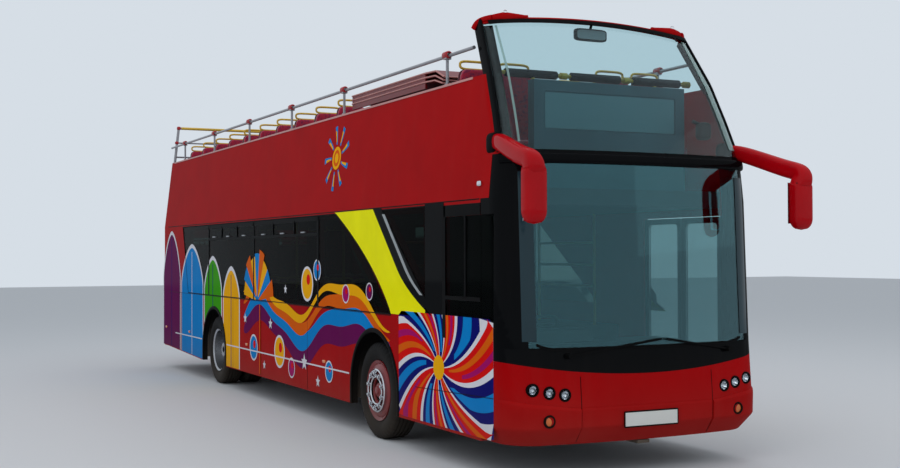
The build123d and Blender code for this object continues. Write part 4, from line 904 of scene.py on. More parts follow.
def column(low_place, high_place, top, layer, count=70):
    """A sheet that stands on the livery's lower edge, with its top given as a function of place."""
    edges = [axle + side * livery_reach for axle in axles for side in (-1.001, -0.999, 0.999, 1.001)]
    inside = [edge for edge in edges if low_place < edge < high_place]
    place = np.union1d(spread(low_place, high_place, count), inside)
    share = spread(0, 1, 14)[None]
    low, high = livery_low(place)[:, None], top(place)[:, None]
    return vinyl(place[:, None], low + (np.maximum(high, low + 0.01) - low) * share, layer)


def board_top(centre, half, shoulder, peak):
    """Top of a board: a rounded point, from a superellipse over its width."""
    return lambda place: shoulder + (peak - shoulder) * np.maximum(
        1 - np.abs((place - centre) / half) ** 1.7, 0
    ) ** 0.75


def star_radius(angle, points=5, deep=0.45):
    """Radius of a star at an angle, as a share of its tips': straight edges run from each tip
    to the notch half way to the next."""
    half = np.pi / points
    turn = np.abs((angle + half) % (2 * half) - half)
    notch = deep * np.sin(half)
    return notch / (notch * np.cos(turn) + (1 - deep * np.cos(half)) * np.sin(turn))


def disc(place, height, radius, layer, outline=None, inner=0.0):
    """A disc or ring of vinyl, or a star if its outline is given as a function of the angle."""
    angle = spread(0, 2 * np.pi, 41)[None]
    share = spread(inner, 1, 8)[:, None]
    reach = radius * share * (outline(angle) if outline else 1.0)
    return round_vinyl((place, height), reach, angle, layer)


def ribbon(level, swing, phase, half, layer):
    """A ribbon along the side: its middle is a sum of two sines of the place, and its half height
    swells with a third and fades out at both ends."""
    fore, rear = -0.42, 4.45
    place = spread(fore, rear, 150)[:, None]
    share = spread(-1, 1, 7)[None]
    fade = np.clip((place - fore) / 0.5, 0, 1) ** 0.5 * np.clip((rear - place) / 0.6, 0, 1) ** 0.5
    middle = level + swing * np.sin(2.1 * place + phase) + 0.05 * np.sin(5.3 * place)
    height = middle + (half + 0.3 * half * np.sin(3.1 * place + phase)) * fade * share
    return vinyl(place, np.maximum(height, livery_low(place) + 0.004 * (share + 1)), layer)


def blades(centre, reach, wide, twist, start, layer, inner=0.0, outer=1.0, count=7):
    """Curved blades of a pinwheel: each runs out from the centre to the reach, which is a
    function of the angle, and turns by the twist on the way."""
    share = spread(inner, outer, 18)[:, None]
    across_blade = spread(-1, 1, 5)[None]
    parts = []
    for number in range(count):
        angle = start + 2 * np.pi * number / count + twist * share + wide * across_blade
        parts.append(round_vinyl(centre, share * reach(angle), angle, layer))
    return merge(parts)


def burst_reach(angle):
    """Length of the burst's rays, the same at every angle."""
    return 0.36 + 0 * angle


def frame_reach(centre, low, high):
    """Distance from a centre to the edge of a rectangle at an angle."""

    def reach(angle):
        sine, cosine = np.sin(angle), np.cos(angle)
        side = np.where(sine > 0, high[0] - centre[0], centre[0] - low[0]) / np.maximum(np.abs(sine), 1e-6)
        rise = np.where(cosine > 0, high[1] - centre[1], centre[1] - low[1])
        rise = rise / np.maximum(np.abs(cosine), 1e-6)
        return np.minimum(side, rise)

    return reach


rear_curve = np.polyfit([1.255, 1.9, 2.268], [-0.44, 0.35, 1.04], 2)


def rear_edge(height):
    """Place of the long glazing's curved front edge at a height."""
    return np.polyval(rear_curve, height)


def band_edge(height):
    """Place of the yellow band's front edge at a height: straight above, curving forwards below."""
    return -0.017 - (2.265 - height) - 1.9 * np.maximum(1.7 - height, 0) ** 2


def between(low, high, fore, rear, out, thick):
    """A sheet on the right side between two heights and two edges given as functions of height."""
    height = spread(low, high, 30)[None]
    share = spread(0, 1, 16)[:, None]
    return slab(on_side(fore(height) + (rear(height) - fore(height)) * share, height, out), (-thick, 0, 0))


def add_boards():
    """Four painted boards, each with a pale rim and a thin line up its middle."""
    rim, line_half = 0.035, 0.012
    rims = []
    for colour, low, high, shoulder, peak in (
        ("purple", 7.87, 9.03, 1.5, 2.22), ("blue", 6.5, 7.82, 1.42, 2.0),
        ("green", 5.5, 6.45, 1.36, 1.82), ("amber", 4.63, 5.45, 1.28, 1.68),
    ):
        middle, half = (low + high) / 2, (high - low) / 2
        rims.append(column(low, high, board_top(middle, half, shoulder, peak), 1))
        inside = board_top(middle, half - rim, shoulder - 0.03, peak - 0.06)
        lay(f"board_{colour}", colour, both(column(low + rim, high - rim, inside, 2)))
        flat_top = board_top(middle, half, peak - 0.12, peak - 0.12)
        stripe = column(middle - line_half, middle + line_half, flat_top, 3, 5)
        lay(f"board_{colour}_line", "navy" if colour != "blue" else "white", both(stripe))
    lay("board_rims", "white", both(merge(rims)))


def add_ribbons():
    """Four ribbons that wave along the lower side."""
    for name, colour, *shape in (
        ("low", "purple", 0.93, 0.17, 0.3, 0.16, 1), ("mid", "blue", 1.06, 0.18, 0.1, 0.10, 2),
        ("high", "orange", 1.2, 0.19, -0.15, 0.07, 3), ("top", "amber", 1.31, 0.2, -0.35, 0.045, 4),
    ):
        lay(f"ribbon_{name}", colour, both(ribbon(*shape)))


def add_fan():
    """A fan of nine rays in three colours."""
    fan = [[], [], []]
    centre, start, step = (3.85, 1.24), -1.45, 0.322
    for number in range(9):
        angle = spread(start + number * step, start + (number + 1) * step, 6)[None]
        radius = spread(0.12, 1, 8)[:, None] * (0.62 + 0.05 * np.cos(number * 2.0))
        fan[number % 3].append(round_vinyl(centre, radius, angle, 5))
    for colour, parts in zip(("orange", "blue", "amber"), fan):
        lay(f"fan_{colour}", colour, both(merge(parts)))


def add_bubbles():
    """Bubbles with a pale ring and a bright spot each, and stars between them."""
    core = 0.86

    # Place, height, radius and colour
    bubbles = (
        (4.0, 0.64, 0.17, "blue"), (2.95, 0.66, 0.2, "amber"), (2.5, 0.5, 0.12, "pink"),
        (1.95, 1.5, 0.2, "amber"), (1.62, 1.66, 0.12, "blue"), (0.75, 1.42, 0.1, "pink"),
        (1.25, 0.56, 0.12, "blue"), (0.1, 1.46, 0.09, "purple"),
    )
    rings = merge([disc(p, h, r, 5, inner=core) for p, h, r, _ in bubbles])
    lay("bubble_rings", "white", both(rings))
    for colour in ("blue", "amber", "pink", "purple"):
        parts = [disc(p, h, core * r, 5) for p, h, r, c in bubbles if c == colour]
        lay(f"bubbles_{colour}", colour, both(merge(parts)))
    spots = merge([disc(p - 0.2 * r, h + 0.25 * r, 0.3 * r, 6) for p, h, r, _ in bubbles])
    lay("bubble_spots", "scarlet", both(spots))
    stars = (
        (4.37, 1.0, 0.07), (3.3, 0.98, 0.075), (2.05, 0.6, 0.1),
        (3.55, 0.45, 0.06), (1.6, 0.42, 0.07), (2.72, 1.42, 0.06),
    )
    lay("stars", "white", both(merge([disc(p, h, r, 6, star_radius) for p, h, r in stars])))


def add_pinwheel():
    """A pinwheel that fills the panel ahead of the front wheel."""
    centre = (-1.5, 0.83)
    reach = frame_reach(centre, (-2.52, 0.315), (-0.625, 1.3))
    angle = spread(0, 2 * np.pi, 97)[None]
    lay("pinwheel_field", "navy", round_vinyl(centre, spread(0, 1, 14)[:, None] * reach(angle), angle, 1))
    for name, colour, wide, start, layer, inner in (
        ("pale", "white", 0.27, 0.0, 2, 0.03), ("scarlet", "scarlet", 0.2, 0.0, 3, 0.0),
        ("blue", "blue", 0.07, 0.43, 2, 0.3), ("orange", "orange", 0.045, 0.06, 4, 0.2),
        ("pink", "pink", 0.035, -0.1, 4, 0.45),
    ):
        lay(f"pinwheel_{name}", colour, blades(centre, reach, wide, 0.5, start, layer, inner))
    lay("pinwheel_hub", "amber", disc(*centre, 0.11, 5))


def add_burst():
    """A burst of rays on the upper deck's side."""
    centre = (1.16, 2.88)
    lay("burst_rays", "blue", both(blades(centre, burst_reach, 0.09, 0.12, 0.1, 2, 0.42, 1.0, 9)))
    lay("burst_tips", "amber", both(blades(centre, burst_reach, 0.05, 0.12, 0.14, 3, 0.5, 0.86, 9)))
    lay("burst_disc", "amber", both(disc(*centre, 0.125, 2)))
    lay("burst_ring", "orange", both(disc(*centre, 0.09, 3, inner=0.6)))


class BUS_OT_livery(bpy.types.Operator):
    """Lay the colour livery on the sides: boards, ribbons, a pinwheel and the yellow band"""

    bl_idname = "bus.livery"
    bl_label = "Livery"

    def execute(self, context):
        add_boards()
        add_ribbons()
        add_fan()
        add_bubbles()
        add_pinwheel()
        lay("yellow_band", "yellow", both(between(1.262, 2.284, band_edge, rear_edge, 0.0006, 0.0004)))
        add_burst()
        return {"FINISHED"}


# Glazing and trim on the sides


def bar(start, end, wide, thick, out=0.0, count=2):
    """A flat bar on the right side from one (place, height) to another."""
    start, end = np.asarray(start, float), np.asarray(end, float)
    along = line(start, end, count)
    direction = (end - start) / np.linalg.norm(end - start)
    normal = np.array([-direction[1], direction[0]]) * wide / 2
    edges = np.stack([along - normal, along + normal], axis=1)
    return slab(on_side(edges[..., 0], edges[..., 1], out), (-thick, 0, 0))


def outline_tube(corners, radius, out=0.0, sides=8):
    """A rubber tube round a closed outline of (place, height) rows on the right side."""
    corners = np.asarray(corners, float)
    corners = np.vstack([corners, corners[:1]])
    steps = np.linalg.norm(np.diff(corners, axis=0), axis=1)
    travel = np.concatenate([[0], np.cumsum(steps)])
    along = np.union1d(spread(0, travel[-1], 160), travel)
    place, height = (np.interp(along, travel, corners[:, axis]) for axis in (0, 1))
    path = on_side(place, height, out)
    return loop(path, circle(radius, sides), (1, 0, 0))


# Wedge pane ahead of the yellow band
wedge_fore, wedge_rear, wedge_low = -1.22, -0.21, 1.42


def wedge_edge(height):
    """Place of the wedge pane's sloping front edge at a height."""
    sloped = np.interp(height, [wedge_low, glass_top], [wedge_fore, wedge_rear])
    return np.minimum(sloped, band_edge(height) - 0.03)


def add_gaskets():
    """Rubber round the long pane on both sides, and round the wedge pane on the right."""
    radius = sizes().gasket_wide / 2
    height = spread(glass_low, glass_top, 24)
    outline = np.vstack([
        np.stack([rear_edge(height), height], axis=-1),
        [(7.72, glass_top), (7.38, glass_low)],
    ])
    wedge = [(wedge_rear, glass_top), (wedge_fore, glass_top), (wedge_fore, wedge_low)]
    gaskets = both(outline_tube(outline, radius, -0.003))
    gaskets = merge([gaskets, outline_tube(wedge, radius, -0.003)])
    black("glass_gaskets", gaskets, "rubber")


def add_dividers():
    """Dividers of the long pane, and hopper windows with handles between two of its levels."""
    fore, rear, low, high, sunk = 1.6, 6.19, 2.06, 2.235, -0.0025
    dividers = [bar((s, glass_low), (s, glass_top), 0.05, 0.006, sunk) for s in (fore, 4.0, rear)]
    dividers.append(bar((fore, low), (rear, low), 0.032, 0.008, sunk))
    dividers.append(bar((fore, high), (rear, high), 0.05, 0.006, sunk))
    dividers += [bar((s, low), (s, high), 0.02, 0.01, sunk) for s in (2.4, 3.2, 4.75, 5.5)]
    black("glass_dividers", both(merge(dividers)), smooth=0)
    handles = [
        bar((s, 2.09), (s + 0.14, 2.09), 0.014, 0.018, -0.002) for s in (2.0, 2.75, 3.5, 4.35, 5.1, 5.8)
    ]
    piece("hopper_handles", both(merge(handles)), "steel", smooth=0)


def add_wedge_trim():
    """Pale bevel and dark border between the wedge pane and the yellow band."""
    bevel = (1.46, 2.226, lambda h: band_edge(h) - 0.235, lambda h: band_edge(h) - 0.175, 0.001, 0.004)
    piece("wedge_bevel", between(*bevel), "pale_trim", smooth=0)
    border = between(1.283, 2.286, wedge_edge, band_edge, 0.0004, 0.003)
    black("wedge_border", both(border), "screen_black", 0)


def add_cab_window():
    """Frame, transom and post of the cab window, and the pillar behind it."""
    low, high, rear, fore, transom, post = 1.12, 2.16, -1.61, -2.3, 1.455, -2.02
    cab = [
        bar((rear, low - 0.02), (rear, high + 0.1), 0.06, 0.004, 0.0004),
        bar((rear, high + 0.05), (fore, high + 0.05), 0.1, 0.004, 0.0004),
        bar((rear, transom), (fore, transom), 0.034, 0.008, -0.003),
        bar((post, transom), (post, high), 0.03, 0.008, -0.003),
    ]
    black("cab_window_frame", merge(cab), smooth=0)
    black("cab_pillar", bar((-1.415, 1.3), (-1.415, 2.286), 0.39, 0.003, 0.0004), "screen_black", 0)


def add_saloon_rails():
    """Yellow poles along the saloon; the front two stand on the wheel boxes."""
    box_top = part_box("wheel_boxes")[1][2] - 0.004
    x, feet = -0.93, ((-0.62, box_top), (0.5, box_top), (1.7, 0.42), (3.3, 0.42))
    rails = [tube((x, aft(s), foot), (x, aft(s), 2.24), 0.016) for s, foot in feet]
    rails += [tube((x, aft(feet[0][0]), z), (x, aft(feet[1][0]), z), 0.014) for z in (1.5, 1.72, 1.95)]
    piece("saloon_rails", both(merge(rails)), "hoop_yellow")


class BUS_OT_glazing(bpy.types.Operator):
    """Add the gaskets, dividers, hopper windows and bevels of the side glazing"""

    bl_idname = "bus.glazing"
    bl_label = "Side Glazing"

    def execute(self, context):
        add_gaskets()
        add_dividers()
        add_wedge_trim()
        add_cab_window()
        add_saloon_rails()
        return {"FINISHED"}


def arch_route(axle, radius, foot, steps):
    """Rows of (place, height) that run up one side of a wheel arch, over it and down the other."""
    angle = spread(0, np.pi, 60)
    arc = np.stack([axle + radius * np.cos(angle), hub_height + radius * np.sin(angle)], axis=-1)
    shoulder = hub_height - 0.01
    legs = line((axle + radius, foot), (axle + radius, shoulder), steps)
    other = line((axle - radius, shoulder), (axle - radius, foot), steps)
    return np.vstack([legs, arc, other])


def arch_lip(axle):
    """A moulded lip round a wheel arch: a flat rounded profile carried along the arch's route."""
    route = arch_route(axle, arch_radius + 0.012, skirt_height + 0.004, 4)
    path = on_side(route[:, 0], route[:, 1], 0.0)
    return sweep(path, squared(0.6, 12) * (0.024, 0.011), up=(1, 0, 0))


def arch_liner(axle):
    """A dark lining of a wheel arch's cut edge: four edges, at two radii and two depths, carried
    along the arch's route."""
    outer, inner = (arch_route(axle, arch_radius - less, skirt_height, 3) for less in (0.0005, 0.003))
    near, deep = body_half + 0.002, body_half - 0.064
    corners = ((outer, near), (outer, deep), (inner, deep), (inner, near), (outer, near))
    rows = [
        np.stack([np.full(len(route), -x), aft(route[:, 0]), route[:, 1]], axis=-1) for route, x in corners
    ]
    return grid(np.stack(rows, axis=1))


def add_strips():
    """The pale strip along the side, in two lengths."""
    high, level = sizes().trim_high, 0.595
    ends = ((0.66, 5.25), (6.56, 8.19))
    strips = [bar((fore, level), (rear, level), high, 0.004, 0.0003, 12) for fore, rear in ends]
    lay("side_trim", "white", both(merge(strips)))


def add_seams():
    """Dark seams between the lower panels."""
    gap, thick, out = 0.005, 0.0012, 0.0012
    upright = (1.95, 3.7, 4.95, 7.8, 8.5)
    seams = [bar((s, livery_low(s) + 0.002), (s, 1.235), gap, thick, out) for s in upright]
    seams.append(bar((-0.44, 1.243), (8.65, 1.243), gap, thick, out, 40))
    seams.append(bar((-1.0, 0.612), (-2.52, 0.66), gap, thick, 0.0028, 12))
    black("side_seams", both(merge(seams)), smooth=0)


def add_joints():
    """Joints at the foot and the top of the upper deck's side, its front corner's skin, and a stripe."""
    rear, joint, cap = 8.69, 2.292, 3.343
    black("deck_joints", both(bar((-2.28, joint), (rear, joint), 0.01, 0.002, 0.0, 40)), smooth=0)
    piece("deck_caps", both(bar((-1.98, cap), (rear, cap), 0.02, 0.005, 0.0, 40)), "cap_pink", smooth=0)
    corner = bar((-2.29, 2.4725), (-2.45, 2.4725), 0.355, 0.0015, 0.0004)
    piece("corner_skins", both(corner), "body_paint", smooth=0)
    lay("pull_stripe", "orange", both(bar((3.74, 0.32), (3.74, 1.2), 0.03, 0.0012, 0.003)))


def add_side_lamps():
    """Marker lamps at the front corners, and amber repeaters along the sides."""
    marker = rounded_block(on_side(-2.28, 2.42, 0.008), (0.03, 0.07, 0.045), 0.5, 12, 20)
    piece("marker_lamps", both(marker), "lamp_chrome")
    spots = [on_side(s, 0.66, 0.004) for s in (1.4, 4.3, 7.3, 8.8)]
    amber = [rounded_block(spot, (0.018, 0.09, 0.035), 0.5, 12, 20) for spot in spots]
    piece("side_repeaters", both(merge(amber)), "lamp_orange")


class BUS_OT_trim(bpy.types.Operator):
    """Add the arch lips and liners, trim strips, panel seams and small lamps of the sides"""

    bl_idname = "bus.trim"
    bl_label = "Side Trim"

    def execute(self, context):
        black("arch_lips", both(merge([arch_lip(axle) for axle in axles])))
        black("arch_liners", both(merge([arch_liner(axle) for axle in axles])), "rubber")
        add_strips()
        add_seams()
        add_joints()
        add_side_lamps()
        return {"FINISHED"}


# The front


def crease_height(distance):
    """Height of the bumper's crease: level between the seams, then rising to the corners."""
    return 0.585 + 0.075 * np.clip((np.abs(distance) - 0.68) / 0.6, 0, 1)


def front_slab(distance, height, out, thick, shape=lower_front):
    """A closed sheet on the front between an inner and an outer distance from the surface."""
    outside = np.asarray(out) + thick
    return closed_sheet(front(distance, height, out, shape), front(distance, height, outside, shape))


def bumper_skin(low_distance, high_distance, swell, fade=0.0):
    """The bumper's lower skin: it stands out along the crease, with a rounded upper edge, falls
    back to the body towards its foot, and fades out over the last stretch of its length."""
    distance = spread(low_distance, high_distance, 60)[:, None]
    share = spread(0, 1, 26)[None]
    foot = 0.292
    height = foot + (crease_height(distance) - foot) * share
    shape = np.minimum(share * 2.2 + 0.25, 1.0) * (1 - 0.85 * np.clip((share - 0.93) / 0.07, 0, 1) ** 2)
    left = np.clip((high_distance - distance) / fade, 0, 1) if fade else 1.0
    return front_slab(distance, height, 0.0003, np.maximum(swell * shape * left, 0.0008))


def lamp_parts(x, height, radius, out=0.0):
    """Bezel, bowl and lens of a lamp on the bumper, turned about the bus's long axis; the bowl and
    the lens are two parabolas of the share of their radius."""
    centre = (x, front(across(x, height), height, out)[1], height)
    hole = 0.66
    share = spread(0, 1, 12)
    bezel = [
        (0.012, radius), (-0.004, radius), (-0.009, radius * 0.94), (-0.008, radius * (hole + 0.06)),
        (0.004, radius * hole), (0.012, radius * hole), (0.012, radius),
    ]

    def dish(fore_depth, rear_depth, curve, wide):
        fore, rear = (
            np.stack([curve + depth, wide * radius * share], axis=-1) for depth in (fore_depth, rear_depth)
        )
        return turned(np.vstack([fore, rear[::-1]]), centre, "Y", 40)

    bowl = dish(0.034, 0.038, -0.03 * share**2, hole)
    return turned(bezel, centre, "Y", 40), bowl, dish(0.001, 0.003, -0.004 * (1 - share**2), hole + 0.02)


def hub_part(profile, side, centre_x, axle, segments=72):
    """A profile of (distance out from the wheel's middle, radius) rows turned about a wheel's hub."""
    rows = [(side * along, radius) for along, radius in profile]
    return turned(rows, (side * centre_x, axle, hub_height), "X", segments)


def nut_ring(side, wheel_x, axle, face, pitch, count=10):
    """Wheel nuts in their cups round the hub, with an inner and an outer guard ring; face is how
    far outside the wheel's middle the disc lies."""
    cup = [
        (0.0, 0.0), (0.0, 0.028), (0.042, 0.028), (0.044, 0.024), (0.03, 0.02), (0.03, 0.014),
        (0.052, 0.014), (0.055, 0.01), (0.055, 0.0),
    ]
    cup = [(side * along, radius) for along, radius in cup]
    hoop = [(0.0, -0.006), (0.022, -0.01), (0.03, 0.0), (0.022, 0.01), (0.0, 0.006), (0.0, -0.006)]
    x, parts = wheel_x + face, []
    for number in range(count):
        angle = 2 * np.pi * (number + 0.5) / count
        spot = (side * x, axle + pitch * math.cos(angle), hub_height + pitch * math.sin(angle))
        parts.append(turned(cup, spot, "X", 16))
    for radius in (pitch - 0.034, pitch + 0.034):
        parts.append(hub_part([(along, radius + step) for along, step in hoop], side, x, axle))
    return merge(parts)


# Profiles of a front wheel's outer disc, hub collar and hub cap: distance out from the wheel's
# middle, and radius
disc_profile = [
    (0.092, 0.264), (0.1, 0.266), (0.108, 0.258), (0.114, 0.24), (0.118, 0.222), (0.12, 0.21),
    (0.12, 0.134), (0.116, 0.126), (0.104, 0.122), (0.08, 0.12), (0.08, 0.23), (0.092, 0.264),
]
collar_profile = [
    (0.076, 0.122), (0.098, 0.118), (0.106, 0.1), (0.106, 0.078), (0.098, 0.076), (0.076, 0.09),
    (0.076, 0.122),
]
cap_profile = [
    (0.076, 0.078), (0.112, 0.074), (0.124, 0.06), (0.128, 0.042), (0.138, 0.038), (0.142, 0.024),
    (0.142, 0.0), (0.136, 0.0), (0.128, 0.033), (0.118, 0.036), (0.11, 0.06), (0.076, 0.072),
    (0.076, 0.078),
]


class BUS_OT_wheels(bpy.types.Operator):
    """Add outer discs, hub caps, nuts and guard rings to the wheels"""

    bl_idname = "bus.wheels"
    bl_label = "Wheel Details"

    def execute(self, context):
        for name, side in wheel_sides:
            body = f"wheel_front_{name}"
            x = abs(middle_x(f"tyre_front_{name}"))
            piece(f"front_nuts_{name}", nut_ring(side, x, front_axle, 0.118, 0.172), "lamp_chrome", body)
            outer = hub_part(disc_profile, side, x, front_axle)
            piece(f"wheel_disc_{name}", outer, "rim_red", body, smooth=50)
            collars = hub_part(collar_profile, side, x, front_axle, 48)
            piece(f"hub_collar_{name}", collars, "satin_black", body)
            piece(f"hub_cap_{name}", hub_part(cap_profile, side, x, front_axle, 48), "rim_red", body)
            nuts = nut_ring(side, abs(middle_x(f"tyres_rear_{name}")), rear_axle, 0.016, 0.198)
            piece(f"rear_nuts_{name}", nuts, "rim_silver", f"wheel_rear_{name}")
        return {"FINISHED"}


def add_bumper():
    """The bumper's skin in three lengths, and the seams between them."""
    levels, _ = lower_front
    far = across(levels[:, 1].max(), 0.6) + 0.012
    corner = bumper_skin(0.665, far, 0.016, 0.3)
    skin = merge([bumper_skin(-0.655, 0.655, 0.0045), both(corner)])
    piece("bumper_skin", skin, "body_paint")
    height = spread(0.3, 0.84, 8)[None]
    seams = [front_slab(line([d], [d + 0.006]), height, 0.0002, 0.0008) for d in (0.656, -0.662)]
    black("bumper_seams", merge(seams), smooth=0)


def add_lamps():
    """Three clear lamps a side, and an indicator below them on the skin that stands out."""
    bezels, bowls, lenses, orange = [], [], [], []
    for x, height, out, glasses in (
        (1.073, 0.745, 0.0, lenses), (0.934, 0.718, 0.0, lenses), (0.8, 0.697, 0.0, lenses),
        (0.946, 0.493, 0.017, orange),
    ):
        for side in (-1, 1):
            parts = lamp_parts(side * x, height, 0.0535, out)
            for pile, part in zip((bezels, bowls, glasses), parts):
                pile.append(part)
    piece("lamp_bezels", merge(bezels), "satin_black", replaces=("front_lamps",))
    piece("lamp_bowls", merge(bowls), "lamp_chrome")
    piece("lamp_lenses", merge(lenses), "lamp_clear")
    piece("indicator_lenses", merge(orange), "lamp_orange")


def add_screen_trim():
    """Margins at the lower screen's sides, and gaskets whose ends bend towards each other."""
    margin = front_slab(spread(1.03, 1.15, 8)[:, None], spread(1.13, 2.5, 12)[None], 0.0004, 0.001)
    black("screen_margins", both(margin), "screen_margin", 50)
    distance = spread(-1.03, 1.03, 60)[:, None]
    low = 1.062 + 0.04 * np.clip((np.abs(distance) - 0.85) / 0.18, 0, 1) ** 2
    high = 2.585 - 0.02 * np.clip((np.abs(distance) - 0.8) / 0.2, 0, 1) ** 2
    strip = spread(-0.012, 0.012, 4)[None]
    gaskets = [front_slab(distance, level + strip, 0.0003, 0.004) for level in (low, high)]
    black("screen_gaskets", merge(gaskets), "rubber")


def add_plate_frame():
    """A thin frame round the front plate."""
    half, low, high = 0.266, 0.412, 0.536
    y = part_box("number_plates")[0][1] + 0.003
    corners = np.array([(x, y, z) for x, z in (
        (-half, low), (half, low), (half, high), (-half, high), (-half, low)
    )])
    black("plate_frame", sweep(polyline(corners, 14), circle(0.006, 8), up=(0, 1, 0)))


class BUS_OT_front(bpy.types.Operator):
    """Shape the bumper's crease and seams, and add the lamps, screen gaskets and plate frame"""

    bl_idname = "bus.front"
    bl_label = "Front"

    def execute(self, context):
        add_bumper()
        add_lamps()
        add_screen_trim()
        add_plate_frame()
        return {"FINISHED"}


def crown(x, height):
    """A height on the top rail's arch, which falls 95 mm from the middle to 1.3 m out."""
    return height - 0.095 * (x / 1.3) ** 2


def add_rail_gasket():
    """Rubber under the top rail, along its arch."""
    distance = spread(-1.04, 1.04, 60)[:, None]
    height = crown(distance, 3.884) + spread(-0.012, 0.023, 6)[None]
    black("rail_gasket", front_slab(distance, height, 0.0004, 0.03, upper_front), "rubber")


def add_rail_ends():
    """Ends of the top rail behind the corners of the glass, with a low hump and a lamp on each."""
    ends, humps, lamps = [], [], []
    along = spread(0.66, 1.0, 25)
    peak = np.clip(1 - np.abs(along - 0.885) / 0.2, 0, 1)
    swell = np.stack([0.02 + 0.022 * peak, 0.018 + 0.028 * peak], axis=-1)
    for side in (-1, 1):
        route = [(side * 1.0, aft(-2.005), 3.872), (side * 1.055, aft(-1.955), 3.862),
                 (side * 1.088, aft(-1.895), 3.838), (side * 1.098, aft(-1.86), 3.79)]
        ends.append(sweep(smooth_path(route, 16), 0.026 * squared(0.6, 12)))
        spine = front(side * along, crown(along, 3.926) + 0.002 * peak, 0.0, upper_front)
        humps.append(sweep(spine, squared(0.8, 20), scale=swell))
        lamps.append(rounded_block((side * 0.884, aft(-2.03), 3.932), (0.036, 0.03, 0.024), 0.8, 8, 14))
    piece("rail_ends", merge(ends + humps), "body_paint", smooth=50)
    piece("rail_lamps", merge(lamps), "lamp_clear")


def add_pillars():
    """Pillars that stand on the corners of the upper screen."""
    height = spread(2.66, 3.83, 24)
    centre_x, centre_y, _, _ = plan(height, upper_front)
    reach, angle = 0.186, math.radians(71)
    pillars = []
    for side in (-1, 1):
        middle = np.stack([
            side * (centre_x + reach * math.sin(angle)), aft(centre_y - reach * math.cos(angle)), height
        ], axis=-1)
        pillars.append(sweep(middle, squared(0.6, 16) * (0.066, 0.016), up=(1, 0, 0)))
    black("screen_pillars", merge(pillars), "screen_black", 50)


def add_painted_bend_reflections():
    """Pale sheets laid on the glass where it bends round the corners: a painted reflection, wider on the left
    (+X) corner than on the right.
    """
    height = spread(2.75, 3.8, 20)[None]
    start = across(np.array(1.02), 3.2, upper_front)
    edge = []
    for side, wide in ((-1, 0.02), (1, 0.17)):
        distance = side * (start + spread(0, wide, 7)[:, None] + 0.09 * (3.3 - height))
        edge.append(front_slab(distance, height, 0.0006, 0.003, upper_front))
    # Pale sheets that stand in for the reflection on the glass's bends (painted reflection)
    piece("glass_edges", merge(edge), "edge_glass", smooth=50)


def add_roll():
    """Roll between the screens, a squared circle carried round the front and closed at its ends."""
    far = across(np.array(1.2), 2.6) + 0.05
    distance = spread(-far, far, 80)
    profile = squared(0.7, 20)
    closed = np.vstack([profile, profile[:1]])
    rows = [front(distance, 2.612 + 0.042 * up, 0.002 + 0.024 * out) for out, up in closed]
    roll = np.stack(rows, axis=1)
    ends = [np.repeat(roll[i].mean(axis=0)[None, None], roll.shape[1], axis=1) for i in (0, -1)]
    black("screen_roll", grid(np.concatenate([ends[0], roll, ends[1]])), "screen_black")


def add_inside_mirror():
    """Inside mirror, and a small camera beside the display."""
    x, z = -0.01, 3.79
    shell = rounded_block((x, aft(-2.02), z), (0.34, 0.04, 0.112), 0.35)
    stem = tube((x, aft(-2.02), 3.84), (x, aft(-2.05), 3.9), 0.012)
    piece("inside_mirror", merge([shell, stem]), "foam")
    face = rounded_block((x, aft(-2.043), z), (0.3, 0.006, 0.082), 0.3)
    piece("inside_mirror_face", face, "pale_trim")
    case = rounded_block((0.93, aft(-2.42), 2.93), (0.13, 0.1, 0.16), 0.5)
    arm = tube((0.84, aft(-2.38), 3.02), (0.93, aft(-2.42), 2.98), 0.016)
    black("deck_camera", merge([case, arm]))


class BUS_OT_upper_front(bpy.types.Operator):
    """Dress the upper screen: gasket, humps, pillars, painted reflections on the glass's bends and the roll
    between the screens
    """

    bl_idname = "bus.upper_front"
    bl_label = "Upper Front"

    def execute(self, context):
        add_rail_gasket()
        add_rail_ends()
        add_pillars()
        add_painted_bend_reflections()
        add_roll()
        add_inside_mirror()
        return {"FINISHED"}


def add_grab_rail():
    """Grab rail behind the upper screen, with collars and dark sleeves."""
    low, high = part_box("front_grab_rail")
    y, z, radius, thick = (low[1] + high[1]) / 2, high[2] - 0.036, 0.018, 0.03
    tubes = [tube((low[0], y, z), (high[0], y, z), radius, 16)]
    tubes += [tube((x, y, 2.45), (x, y, z), radius, 16) for x in (-0.64, 0.64)]
    collar = [(-0.03, radius), (-0.03, thick), (0.03, thick), (0.03, radius)]
    spots = (-0.33, 0.33, low[0] + 0.04, high[0] - 0.04)
    tubes += [turned(collar, (x, y, z), "X", 20) for x in spots]
    piece("grab_tubes", merge(tubes), "hoop_yellow", replaces=("front_grab_rail",))
    sleeve = [
        (-0.26, radius), (-0.26, thick), (-0.252, 0.037), (0.252, 0.037), (0.26, thick), (0.26, radius)
    ]
    sleeves = [turned(sleeve, (x, y, z), "X", 24) for x in (-0.66, 0.0, 0.66)]
    piece("grab_sleeves", merge(sleeves), "foam")


def add_display():
    """Lattice display on the front of the sign box."""
    low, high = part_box("sign_box")
    middle, half = (low[0] + high[0]) / 2, 0.68
    sheet = line((middle - half, 0, 0), (middle + half, 0, 0), 12)[:, None]
    sheet = sheet + np.array([(0, 0, 2.915), (0, 0, 3.225)])
    sheet[..., 1] = low[1] + 0.003
    piece("display_panel", slab(sheet, (0, 0.006, 0)), "display", smooth=0)


